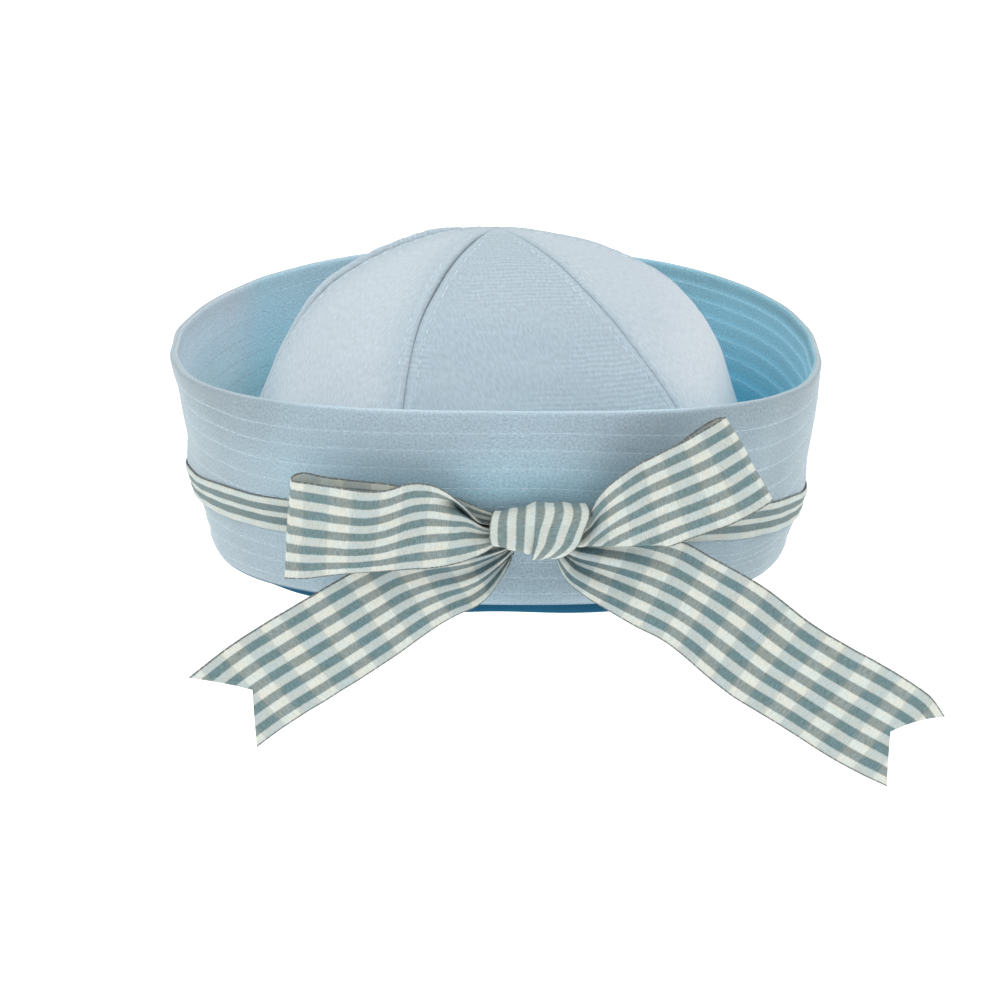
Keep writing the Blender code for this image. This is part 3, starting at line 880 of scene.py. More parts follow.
def loop_points(front, back, rows, across):
    """A loop's two layers as one ribbon, from the knot in front to the knot behind.

    Between them, one more row stands a little outward and makes the end fold round.
    """
    shares = np.linspace(0, 1, rows)
    edges = []
    for ahead, behind in zip(front, back):
        there, home = along(ahead, shares), along(behind, shares)
        fold = (there[-1] + home[0]) / 2 + 0.9 * unit(there[-1] - there[-4])
        edges.append(np.concatenate([there, fold[None], home]))
    top, bottom = edges
    return bottom[:, None] + (top - bottom)[:, None] * across[None, :, None]


def rolled_under(points, front):
    """The front layer rolled under below a line: round a half turn and up behind.

    A point's depth below the line becomes its distance round a roll of fixed radius.
    """
    x, y, z = np.moveaxis(points, -1, 0)
    line = np.interp(x, ROLL_LINE[:, 0], ROLL_LINE[:, 1])
    depth = np.maximum(line - z, 0) * front
    turn = np.minimum(depth / ROLL_RADIUS, np.pi)
    past = np.maximum(depth - np.pi * ROLL_RADIUS, 0)
    height = np.where(depth > 0, line - ROLL_RADIUS * np.sin(turn) + past, z)
    return np.stack([x, y + ROLL_RADIUS * (1 - np.cos(turn)), height], axis=-1)


def ribbon_map(travelled, across):
    """The ribbon's own coordinates: distance along it, and across its width."""
    return np.stack(np.broadcast_arrays(travelled, (1 - across) * RIBBON_WIDTH), axis=-1)


# ======================================================================== materials
class Net:
    """A node tree, with a method for each kind of node that the materials use."""

    def __init__(self, tree):
        self.tree = tree

    def fill(self, node, inputs):
        """Link a node's inputs to sockets, or set them to values or colours."""
        for key, value in inputs.items():
            socket = node.inputs[key]
            if isinstance(value, bpy.types.NodeSocket):
                self.tree.links.new(value, socket)
            else:
                socket.default_value = (*value, 1) if socket.type == "RGBA" else value

    def add(self, kind, inputs=None, **settings):
        """Add a node, set its properties, fill its inputs, and return its outputs."""
        new = self.tree.nodes.new("ShaderNode" + kind)
        for name, value in settings.items():
            setattr(new, name, value)
        self.fill(new, inputs or {})
        return new.outputs

    def group(self, name, **inputs):
        """Use a shared node group."""
        return self.add("Group", inputs, node_tree=bpy.data.node_groups[name])

    def maths(self, operation, first, second=0, third=0):
        """The result of one Math node."""
        return self.add("Math", {0: first, 1: second, 2: third}, operation=operation)[0]

    def times(self, first, second):
        """A product."""
        return self.maths("MULTIPLY", first, second)

    def plus(self, first, second):
        """A sum."""
        return self.maths("ADD", first, second)

    def times_plus(self, first, second, third):
        """A product and a sum."""
        return self.maths("MULTIPLY_ADD", first, second, third)

    def sine(self, value, rate):
        """The sine of a value times a rate."""
        return self.maths("SINE", self.times(value, rate))

    def about_zero(self, value, strength):
        """A value from 0 to 1 moved to be about 0, times a strength."""
        return self.times(self.maths("SUBTRACT", value, 0.5), strength)

    def noise(self, vector, scale, detail=2, roughness=0.5):
        """The value of a noise texture."""
        inputs = {"Vector": vector, "Scale": scale, "Detail": detail, "Roughness": roughness}
        return self.add("TexNoise", inputs)[0]

    def remap(self, value, low, high, to_low=0, to_high=1, kind="SMOOTHSTEP"):
        """A value moved from one range to another, clamped."""
        inputs = {"Value": value, "From Min": low, "From Max": high}
        inputs.update({"To Min": to_low, "To Max": to_high})
        return self.add("MapRange", inputs, interpolation_type=kind)[0]

    def mix(self, share, first, second):
        """Two numbers mixed."""
        return self.add("Mix", {0: share, 2: first, 3: second}, data_type="FLOAT")[0]

    def blend(self, share, first, second, kind="MIX"):
        """Two colours mixed."""
        inputs = {0: share, 6: first, 7: second}
        return self.add("Mix", inputs, data_type="RGBA", blend_type=kind)[2]

    def tinted(self, share, colour, factors):
        """A colour multiplied by factors, as far as a share from 0 to 1 says."""
        return self.blend(share, colour, factors, "MULTIPLY")

    def scaled(self, vector, factors):
        """A vector or colour multiplied part by part."""
        return self.add("VectorMath", {0: vector, 1: factors}, operation="MULTIPLY")[0]

    def vector(self, x, y, z=0):
        """A vector from its parts."""
        return self.add("CombineXYZ", {0: x, 1: y, 2: z})[0]

    def parts(self, vector):
        """The three parts of a vector."""
        return self.add("SeparateXYZ", {0: vector})[:]

    def place(self):
        """A point's place, in metres."""
        return self.add("TexCoord")["Object"]

    def uv(self):
        """A point's place on the flat cloth, in metres."""
        return self.add("UVMap", uv_map="cloth")[0]

    def attribute(self, name):
        """A value that the piece carries at each point."""
        return self.add("Attribute", attribute_name=name)["Fac"]


def new_group(name, inputs, outputs):
    """An empty node group: its net, its input sockets and its output node.

    inputs and outputs hold the sockets' labels and defaults: a number, a colour, or None
    for a vector.
    """
    group = bpy.data.node_groups.new(name, "ShaderNodeTree")
    for way, sockets in (("INPUT", inputs), ("OUTPUT", outputs)):
        for label, default in sockets.items():
            kind = {type(None): "Vector", tuple: "Color"}.get(type(default), "Float")
            socket = group.interface.new_socket(
                label, in_out=way, socket_type="NodeSocket" + kind
            )
            if kind != "Vector":
                socket.default_value = (*default, 1) if kind == "Color" else default
    given = group.nodes.new("NodeGroupInput").outputs
    return Net(group), given, group.nodes.new("NodeGroupOutput")


def weave_group():
    """Threads of a cloth from its UV map: their height, and how light each one is.

    A plain weave is the product of two sines, a twill the sine of a slanting line.
    Noise drawn out along the threads makes single ones lighter, and short noise their
    crossings.
    """
    inputs = {"Vector": None, **WEAVE_INPUTS}
    net, given, result = new_group("Cotton weave", inputs, {"Height": 0, "Thread": 0})
    per_pitch = net.maths("DIVIDE", 1000, given["Pitch mm"])
    wander = net.times(net.noise(given["Vector"], 180), 0.9)
    across, upward, _ = net.parts(given["Vector"])
    x, y = (net.times_plus(each, per_pitch, wander) for each in (across, upward))
    plain = net.times(net.sine(x, math.pi), net.sine(y, math.pi))
    wale = net.sine(net.times_plus(y, given["Slant"], x), math.pi)
    drawn = [net.scaled(net.vector(x, y), way) for way in ((0.9, 0.07, 1), (0.07, 0.9, 1))]
    streaks = net.times(net.plus(*(net.noise(each, 1, 1) for each in drawn)), 0.5)
    short = net.maths("DIVIDE", y, given["Grain length"])
    ticks = net.noise(net.vector(x, short), 0.8, 1)
    height = net.times_plus(net.mix(given["Twill"], plain, wale), 0.35, ticks)
    net.fill(result, {"Height": height, "Thread": net.mix(given["Grain"], streaks, ticks)})


def tone_group():
    """A cloth's colour with its unevenness: soft patches, a slow drift between bluer and
    greyer, single threads, the shade between threads, and edges made paler or darker by the
    Edge attribute: wear, painted highlights and painted shade.
    """
    inputs = {"Color": (0.5, 0.5, 0.5), "Vector": None, "Thread": 0.5, "Height": 0.5}
    inputs.update({"Edge": 0, **TONE_INPUTS})
    net, given, result = new_group("Cloth tone", inputs, {"Color": WHITE})
    total = net.times_plus(given["Edge"], given["Wear and painted shading"], 1)
    patches = net.noise(given["Vector"], 45, 4, 0.6)
    for value, label in (
        (patches, "Patches"), (given["Thread"], "Threads"), (given["Height"], "Gaps"),
    ):
        total = net.plus(total, net.about_zero(value, given[label]))
    drift = net.about_zero(net.noise(given["Vector"], 22), given["Drift"])
    tones = net.vector(net.maths("SUBTRACT", total, drift), total, total)
    net.fill(result, {"Color": net.scaled(given["Color"], tones)})


def gingham_group():
    """The ribbon's woven pattern, and where its light stripes are.

    The stripes follow the sine of the width coordinate, the paler and darker stretches
    the sine of the length coordinate, and the fine weft ticks noise drawn out across the
    ribbon.  Slow noise makes the dye warmer and bluer, and a broken line marks the edges.
    """
    inputs = {"Vector": None, "Cross": 1, **dict.fromkeys(RIBBON_DYES, WHITE)}
    net, given, result = new_group("Ribbon gingham", inputs, {"Color": WHITE, "Stripe": 0})
    place, cross = given["Vector"], given["Cross"]
    jitter = net.about_zero(net.noise(net.scaled(place, (2600, 2600, 1)), 1, 1), 0.5)
    length, width = (net.times_plus(each, 1000, jitter) for each in net.parts(place)[:2])
    cream = net.remap(net.sine(width, math.pi / STRIPE_WIDTH), -0.30, 0.30)
    bands = net.sine(length, math.pi / CROSS_BAND)
    bright = net.maths("SUBTRACT", net.remap(bands, -0.5, 0.5), 0.6)
    lit = net.blend(cream, given["Grey"], given["Cream"])
    dim = net.blend(cream, given["Slate"], given["Pale"])
    colour = net.blend(net.times_plus(bright, cross, 0.6), dim, lit)
    border = net.remap(net.maths("ABSOLUTE", bands), 0.03, 0.30, 0.22, 0)
    colour = net.tinted(net.times(border, cross), colour, (0.60, 0.56, 0.54))
    weft = net.noise(net.scaled(place, (2400, 420, 1)), 1, 2, 0.7)
    ticks = net.about_zero(weft, net.remap(cream, 0, 1, 1.4, 0.60, "LINEAR"))
    ticks = net.plus(ticks, 1)
    colour = net.tinted(1, colour, net.vector(ticks, ticks, ticks))
    dye = net.remap(net.noise(net.scaled(place, (150, 330, 1)), 1, 1), 0.35, 0.65)
    colour = net.tinted(1, colour, net.blend(dye, (1.035, 1, 0.975), (0.96, 1, 1.035)))
    half = RIBBON_WIDTH / 2
    off_middle = net.maths("ABSOLUTE", net.maths("SUBTRACT", width, half))
    along_edge = net.noise(net.scaled(place, (900, 0, 1)), 1)
    dashes = net.remap(along_edge, 0.38, 0.55, 0.6, 1)
    selvedge = net.times(net.remap(off_middle, half - 0.65, half - 0.28), dashes)
    net.fill(result, {"Color": net.blend(selvedge, colour, given["Edge"]), "Stripe": cream})


def new_material(name, roughness, sheen=0):
    """A material, its net and its Principled shader, with sheen set on the shader."""
    material = bpy.data.materials.new(name)
    material.use_nodes = True
    net, shader = Net(material.node_tree), material.node_tree.nodes["Principled BSDF"]
    net.fill(shader, {"Roughness": roughness, "Specular IOR Level": 0.25})
    net.fill(shader, {"Sheen Weight": sheen, "Sheen Roughness": 0.6})
    return material, net, shader


def cloth_material(net, shader, colour, weave, tone, bump):
    """Weave and uneven tone on a colour, and the threads' bump on the shader.

    weave and tone hold values for WEAVE_INPUTS and TONE_INPUTS, and bump is the height
    of the threads in millimetres.
    """
    woven = net.group("Cotton weave", Vector=net.uv(), **dict(zip(WEAVE_INPUTS, weave)))
    toned = net.group(
        "Cloth tone", Color=colour, Vector=net.place(), Edge=net.attribute("edge"),
        Thread=woven["Thread"], Height=woven["Height"], **dict(zip(TONE_INPUTS, tone)),
    )
    bumped = {"Height": woven["Height"], "Distance": bump * MM, "Strength": 0.8}
    net.fill(shader, {"Base Color": toned["Color"], "Normal": net.add("Bump", bumped)[0]})


def crown_cotton(colours):
    """Fine light-blue twill, duller in some gores, most on the front one as painted shade, and
    painted lighter low down and towards +X, where the brim shades it.

    The dullest gore has faint ribs: a rib is a sine of the distance along the gore,
    faded out by noise in patches.
    """
    material, net, shader = new_material("crown cotton", 0.85, 0.10)
    place = net.place()
    across, _, height = net.parts(place)
    tone = net.attribute("tone")
    stray = net.times(net.noise(place, 160), 6)
    travelled = net.parts(net.uv())[1]
    ribs = net.maths("SINE", net.times_plus(travelled, FULL_TURN / (RIB_PITCH * MM), stray))
    middle = net.remap(net.maths("ABSOLUTE", across), 0.045, 0.065, RIB_STRENGTH, 0)
    patches = net.remap(net.noise(place, 35), 0.42, 0.62)
    for share in (patches, middle, net.remap(tone, 0.5, 0.9)):
        ribs = net.times(ribs, share)
    colour = net.blend(tone, colours.crown_pale, colours.crown)
    # Painted light: lighter low down and towards +X, to lift the shade that falls there near
    # the brim.
    colour = net.tinted(net.remap(height, 0.085, 0.052), colour, (1.24, 1.19, 1.16))
    colour = net.tinted(net.remap(across, 0.048, 0.075), colour, (1.13, 1.08, 1.05))
    ribs = net.plus(ribs, 1)
    colour = net.scaled(colour, net.vector(ribs, ribs, ribs))
    tone = (0.08, 0.06, 0.40, 0.05, SEAM_GROOVE_SHADE)
    cloth_material(net, shader, colour, (0.62, 0.7, 0.28, 0.85, 2.6), tone, 0.05)
    return material


def lining_colour(net, across, pale, deep):
    """The colour inside the brim, with painted shade: greyer at -X, and bluer and deeper from
    there to +X.
    """
    first = net.remap(across, -0.091, -0.079, 0, 0.55)
    second = net.remap(across, -0.050, 0.050, 0, 0.45)
    return net.blend(net.plus(first, second), pale, deep)


def brim_cotton(colours):
    """Mottled light-blue cotton outside, with painted shade at the sides, near the rim and
    under the knot, a bluer painted shade round the bow, and a painted pale sheen where it
    turns away.  The lining is painted bluer and deeper at +X and low down, as shade, and the
    fold's underside is painted as deep as the tape, as its shadow.
    """
    material, net, shader = new_material("brim cotton", 0.88, 0.08)
    across, _, height = net.parts(net.place())
    # Painted shade inside the brim: bluer and deeper towards +X, deep blue low down at +X,
    # bluer low down at -X, and darker near the rim.
    lining = lining_colour(net, across, colours.lining_pale, colours.lining_deep)
    rightward = net.remap(across, -0.050, 0.050)
    low = net.times(net.remap(height, 0.018, 0.052, 0.85, 0), rightward)
    lining = net.blend(low, lining, colours.lining_low)
    leftward = net.maths("SUBTRACT", 1, rightward)
    low = net.times(net.remap(height, 0.030, 0.056, 1, 0), leftward)
    lining = net.tinted(low, lining, (1.10, 1.24, 1.16))
    lining = net.tinted(net.remap(height, 0.050, 0.066), lining, (0.90, 0.84, 0.82))
    # Painted shade outside: darker towards the sides and near the rim.
    aside = net.remap(net.maths("ABSOLUTE", across), 0.044, 0.090)
    cloth = net.tinted(aside, colours.brim, (0.74, 0.71, 0.69))
    cloth = net.tinted(net.remap(height, 0.046, 0.066), cloth, (0.87, 0.85, 0.845))
    # Painted shadow under the knot, from the shade attribute.
    cloth = net.tinted(net.attribute("shade"), cloth, (0.67, 0.68, 0.68))
    # Painted shade, bluer, round the bow.
    cloth = net.tinted(net.attribute("bow"), cloth, (0.90, 1.05, 1.08))
    sheen = net.add("LayerWeight", {"Blend": 0.5})["Facing"]
    sheen = net.times(net.maths("POWER", sheen, 4), 0.35)
    cloth = net.blend(sheen, cloth, (0.60, 0.66, 0.68))
    colour = net.blend(net.attribute("inside"), cloth, lining)
    # Painted shadow: the fold's underside takes the tape's deep colour.
    colour = net.blend(net.attribute("foot"), colour, colours.sweatband)
    # Its last value is how strongly edge's painted highlights and shade show.
    tone = (0.18, 0.10, 0.90, 0.08, 0.45)
    cloth_material(net, shader, colour, (0.50, 0.1, 0.5, 0.7, 1.2), tone, 0.06)
    return material


def sweatband_cotton(colours):
    """Deep blue twill tape."""
    material, net, shader = new_material("sweatband cotton", 0.75)
    tone = (0.10, 0, 0.30, 0.15, 0.10)
    cloth_material(net, shader, colours.sweatband, (0.8, 1, 1, 0.4, 1), tone, 0.06)
    return material


def gingham_ribbon(colours):
    """Yarn-dyed striped ribbon with paler and darker stretches and a thin dark edge, darkened
    and blued where its shade attribute says, the grey stripes most.
    """
    material, net, shader = new_material("gingham ribbon", 0.80, 0.05)
    dyes = {label: getattr(colours, "ribbon_" + label.lower()) for label in RIBBON_DYES}
    pattern = net.group("Ribbon gingham", Vector=net.uv(), Cross=net.attribute("cross"), **dyes)
    # The shade attribute darkens and blues the colour, the grey stripes most: painted shade on
    # the loops and tails, and all round on the band.
    depth = net.times_plus(pattern["Stripe"], -0.55, 0.9)
    shade = net.times(net.attribute("shade"), depth)
    colour = net.tinted(shade, pattern["Color"], (0.45, 0.55, 0.60))
    tone = (0.06, 0.03, 0.20, 0.10, 0)
    cloth_material(net, shader, colour, (0.42, 0, 0, 0.6, 1), tone, 0.05)
    return material


def thread_material(name, bright, bright_right):
    """Cotton thread, with soft changes of tone along it by noise.

    It goes from one colour to another along x, as the brim's lining's painted shade does.
    """
    material, net, shader = new_material(name, 0.7)
    place = net.place()
    tone = net.remap(net.noise(place, 900, 1), 0.3, 0.7, 1, 0.84)
    colour = lining_colour(net, net.parts(place)[0], bright, bright_right)
    colour = net.scaled(colour, net.vector(tone, tone, tone))
    net.fill(shader, {"Base Color": colour})
    return material


def sewing_thread(colours):
    """Pale cotton thread of the crown."""
    return thread_material("sewing thread", colours.thread, colours.thread)


def brim_thread(colours):
    """Thread of the brim, a little paler than its cloth."""
    return thread_material("brim thread", colours.brim_thread, colours.brim_thread)


def lining_thread(colours):
    """Thread on the brim's inside, with the lining's painted shade, so it hardly shows at -X.
    """
    return thread_material("lining thread", colours.lining_pale, colours.lining_thread)


# ======================================================================= properties
def size(label, about, default, low, high):
    """A length property in metres, given in millimetres."""
    return FloatProperty(
        name=label, description=about, default=default * MM, min=low * MM, max=high * MM,
        unit="LENGTH", precision=5,
    )


def colour_of(label, about, *default):
    """A colour property."""
    return FloatVectorProperty(
        name=label, description=about, default=default, size=3, min=0, max=1, subtype="COLOR"
    )


class CapSizes(PropertyGroup):
    """Sizes that change how the cap is sewn and seen."""

    ribbon_wall: size("Ribbon thickness", "Thickness of the bow's ribbon", RIBBON_WALL, 0.2, 1)
    gore_wall: size("Crown thickness", "Thickness of the crown's cotton", GORE_WALL, 0.4, 1.2)
    camera_distance: size(
        "Camera distance", "From the cap to the camera", CAMERA_DISTANCE, 500, 5000
    )
    floor_height: size("Floor height", "Height of the floor", FLOOR_HEIGHT, -2000, -60)


class CapColours(PropertyGroup):
    """Colours of the cloths and threads."""

    # The front colour is the sides' colour as painted shade, for the front gore that the side
    # lamps light less.
    crown: colour_of("Crown, front", "The crown's front gore", 0.409, 0.496, 0.563)
    crown_pale: colour_of("Crown, sides", "The crown's other gores", 0.518, 0.580, 0.640)
    brim: colour_of("Brim", "Cotton of the brim's outer side", 0.400, 0.519, 0.602)
    # Painted shade: the lining is one cloth, painted bluer and deeper at +X and near the crown.
    lining_pale: colour_of("Lining, pale", "Inside of the brim at -X", 0.565, 0.695, 0.790)
    lining_deep: colour_of("Lining, deep", "Inside of the brim at +X", 0.315, 0.630, 0.775)
    lining_low: colour_of("Lining, low", "Inside, near the crown", 0.130, 0.630, 0.880)
    sweatband: colour_of("Sweatband", "Tape inside the opening", 0.004, 0.092, 0.175)
    ribbon_cream: colour_of("Ribbon cream", "Light stripes, palest", 0.615, 0.64, 0.585)
    ribbon_pale: colour_of("Ribbon pale", "Light stripes, greyer", 0.45, 0.50, 0.485)
    ribbon_grey: colour_of("Ribbon grey", "Grey stripes, warmer", 0.232, 0.272, 0.26)
    ribbon_slate: colour_of("Ribbon slate", "Grey stripes, bluer", 0.13, 0.205, 0.215)
    ribbon_edge: colour_of("Ribbon edge", "Thin line at its edges", 0.12, 0.135, 0.13)
    thread: colour_of("Crown thread", "Topstitching of the crown", 0.72, 0.80, 0.85)
    brim_thread: colour_of("Brim thread", "Rows of stitching outside", 0.51, 0.62, 0.69)
    lining_thread: colour_of("Lining thread", "Rows of stitching inside", 0.50, 0.75, 0.86)


# ======================================================================== operators
class CAP_OT_crown(Operator):
    """Make the six gores of the crown and their topstitching"""

    bl_idname = "cap.crown"
    bl_label = "Crown"

    def execute(self, context):
        distance, drop = gore_columns()
        share = np.linspace(0, 1, 112)[:, None]
        wall = context.scene.cap_sizes.gore_wall / MM
        flat_foot = (drop <= SEAM_ROLL) * (1 - upper_part(share))
        drops = drop * (1 - FOOT_SEAM_FLATTER * flat_foot)
        whole = seam_strength(share)
        for number, tone in enumerate(GORE_TONES):
            points, _, near, dark, reach, width = gore_surface(number, share, distance, drops)
            uv = np.stack([reach - width / 2, share * CROWN_LENGTH + 0 * reach], axis=-1)
            # edge is painted shade in each seam's groove and a painted highlight on the ridge
            # beside it; line adds a painted dark line of groove shade by the darker seams.
            edge = whole * (bell(near, 1.1) - 0.5 * bell(near - 2.2, 1))
            line = whole * (0.1 + 0.9 * upper_part(share)) * bell(near, 0.6)
            edge = edge - dark * line / SEAM_GROOVE_SHADE
            # level is how much of the darker front colour the cloth takes: painted shade on the
            # front gore, and beside the seams.
            level = APEX_TONE + (tone - APEX_TONE) * whole
            # Painted shade beside the seams, reaching further by the darker ones.
            strip = SEAM_SHADE_REACH[0] + SEAM_SHADE_REACH[1] * dark
            level = level + SEAM_SIDE_SHADE * (1 - level) * bell(near, strip)
            mesh = shell(f"gore_{number + 1}", points, wall, uv, edge=edge, tone=level)
            merge_poles(mesh)
            show(mesh, crown_cotton, "crown_cotton", f"crown_gore_{number + 1}")
        paths = []
        stretch = np.linspace(0.03, 0.93, 160)[:, None]
        for number in range(len(SEAMS)):
            for place in (TOPSTITCH_DISTANCE, 2 * EDGE_ZONE + 1 - TOPSTITCH_DISTANCE):
                points, normals, *_ = gore_surface(number, stretch, place, 0)
                paths.append((points[:, 0], normals[:, 0]))
        stitches = stitch_mesh("crown_topstitching", paths, *CROWN_STITCHES)
        show(stitches, sewing_thread, "crown_cotton")
        return {"FINISHED"}


class CAP_OT_brim(Operator):
    """Make the turned-up brim with its rows of stitching, outside and inside"""

    bl_idname = "cap.brim"
    bl_label = "Brim"

    def execute(self, context):
        azimuth = brim_azimuths()[None]
        places = brim_places()
        rim = np.linspace(0, np.pi, 13)[1:-1]
        turn = np.concatenate([0 * places, rim, np.pi + 0 * places])[:, None]
        place = np.concatenate([places, RIM_PLACE + 0 * rim, places[::-1]])[:, None]
        place, turn = place + 0 * azimuth, turn + 0 * azimuth
        points = brim_skin(azimuth, place, np.cos(turn), np.sin(turn))
        inner = ease(-np.cos(turn), 0.3, 0.9)
        rightward = ease(np.sin(azimuth), -0.3, 0.5)
        lines = sum(bell(place - row, 0.45) for row in STITCH_ROWS)
        puff_highlights = sum(bell(place - row - 0.5, 1) for row in STITCH_ROWS)
        # edge: a painted highlight along the top of the rim and lighter lines along the rows
        # outside; inside at +X, painted highlights on the puffed cloth between the rows and
        # painted shade elsewhere.
        edge = bell(np.degrees(turn) - 80, 30) + 0.28 * lines * (1 - inner)
        edge = edge + (0.42 * puff_highlights + 0.20 * lines - 0.20) * inner * rightward
        # Painted shade just inside the rim at +X.
        far_right = bell(azimuth - 0.27 * FULL_TURN, 0.5)
        edge = edge - 0.45 * inner * far_right * bell(place - RIM_PLACE + 1, 2)
        # Painted shadow under the knot, low on the wall.
        knot_shadow = bell(turn_between(azimuth, 7), 0.20)
        fold_shadow_reach = FOLD_SHADOW_PLACE + 1.3 * np.sin(azimuth) ** 2
        mesh = closed_grid(
            "brim_cloth",
            points,
            ring_map(azimuth, lengths_round(points[:, 0])),
            inside=ease(-np.cos(turn), 0.25, 0.5),
            edge=edge,
            shade=knot_shadow * ease(place, WALL_PLACE + 20, WALL_PLACE + 8),
            # bow is the painted blue shade round the bow.
            bow=bell(turn_between(azimuth, 2), 0.50) * bell(points[..., 2] - 43, 10),
            # foot is the painted shadow on the fold's underside.
            foot=ease(place, fold_shadow_reach, fold_shadow_reach - 1),
        )
        show(mesh, brim_cotton, "brim_cotton", "brim")
        ring = np.append(np.linspace(0, FULL_TURN, 720, endpoint=False), FULL_TURN)[None]
        for side, way, thread in (("outside", 1, brim_thread), ("inside", -1, lining_thread)):
            paths = []
            for row in STITCH_ROWS:
                strip_places = np.array((row - 0.1, row, row + 0.1))[:, None] + 0 * ring
                strip = brim_skin(ring, strip_places, way, 0)
                paths.append((strip[1], grid_normals(strip)[1] * way))
            stitches = stitch_mesh("brim_stitching_" + side, paths, *BRIM_STITCHES)
            show(stitches, thread, "brim_cotton")
        return {"FINISHED"}


class CAP_OT_sweatband(Operator):
    """Make the sweatband whose edge shows under the brim's fold"""

    bl_idname = "cap.sweatband"
    bl_label = "Sweatband"

    def execute(self, context):
        azimuth = np.linspace(0, FULL_TURN, 360, endpoint=False)[None]
        shares = np.linspace(0, 1, 26)
        edges = np.linspace(0, np.pi, 7)[1:-1]
        upper, lower = 1 + 0 * edges, 0 * edges
        order = np.concatenate([shares, upper, shares[::-1], lower])[:, None]
        turn = np.concatenate([0 * shares, edges, np.pi + 0 * shares, np.pi + edges])[:, None]
        half = SWEATBAND_WALL / 2
        rows = along(SWEATBAND_TABLE, order + 0 * azimuth)
        low = 1 - ease(rows[..., 0], *SWEATBAND_TABLE[:2, 0])
        rows[..., 1] += half * np.cos(turn)
        points = crown_ring(azimuth, rows)
        tuck = SWEATBAND_TUCK * np.sin(azimuth) ** 2 + 0.9 * bell(turn_between(azimuth, 2), 0.2)
        points[..., 2] += half * np.sin(turn) + tuck * low
        points[..., 2] += 0.15 * unevenness(points, 25, 41)
        uv = ring_map(azimuth, lengths_round(points[:, 0]))
        mesh = closed_grid("sweatband_cloth", points, uv, edge=bell(30 * order, 1))
        show(mesh, sweatband_cotton, "sweatband_cotton", "sweatband")
        return {"FINISHED"}


class CAP_OT_ribbon_band(Operator):
    """Make the ribbon that is folded in three and goes round the brim"""

    bl_idname = "cap.ribbon_band"
    bl_label = "Ribbon band"

    def execute(self, context):
        azimuth = np.linspace(0, FULL_TURN, 600, endpoint=False)[None]
        line = BAND_SECTION[:, :2]
        knots = lengths_along(line)
        shares = np.linspace(0, 1, 72)
        section = along(line, shares)
        width = np.interp(shares * knots[-1], knots, BAND_SECTION[:, 2])
        normal = line_frame(section)[1] * BAND_CLOTH
        loop = np.concatenate([section + normal, (section - normal)[::-1]])
        out, upward = loop[:, :1], loop[:, 1:]
        squeeze = waves(azimuth, BAND_SQUEEZES, 1)
        for centre, reach, _, narrowing in BAND_SAGS:
            squeeze = squeeze - narrowing * bell(turn_between(azimuth, centre), reach)
        height = band_middle(azimuth) + upward * squeeze + waves(azimuth, BAND_WAVERS)
        ripple = 0.08 * np.sin(47 * azimuth + upward * 0.9) * (out > 1.95)
        points = brim_surface(azimuth, brim_place(height), out + ripple, 0 * height)
        uv = ring_map(azimuth, np.concatenate([width, width[::-1], width[:1]]))
        values = {"cross": BAND_CROSS, "shade": BAND_SHADE}
        mesh = closed_grid("ribbon_band_cloth", points, uv, **values)
        show_ribbon(mesh, "ribbon_band", BAND_LENGTH, "folded", "brim_cloth")
        return {"FINISHED"}


class CAP_OT_knot(Operator):
    """Make the wrapped knot of the bow"""

    bl_idname = "cap.knot"
    bl_label = "Knot"

    def execute(self, context):
        angle = -np.linspace(-180, 180, 150, endpoint=False)
        stripe = np.linspace(0, STRIPE_COUNT, 89)[:, None]
        points = knot_points(*np.broadcast_arrays(angle, stripe))
        turned = lengths_round(points[len(points) // 2])
        uv = np.stack(np.broadcast_arrays(turned, stripe * STRIPE_WIDTH), axis=-1)
        wall = context.scene.cap_sizes.ribbon_wall / MM
        mesh = shell("knot_cloth", points, wall, uv, wrap=True, cross=KNOT_CROSS)
        under = ("left_loop_cloth", "right_loop_cloth")
        show_ribbon(mesh, "bow_knot", KNOT_LENGTH, "folded", *under)
        return {"FINISHED"}


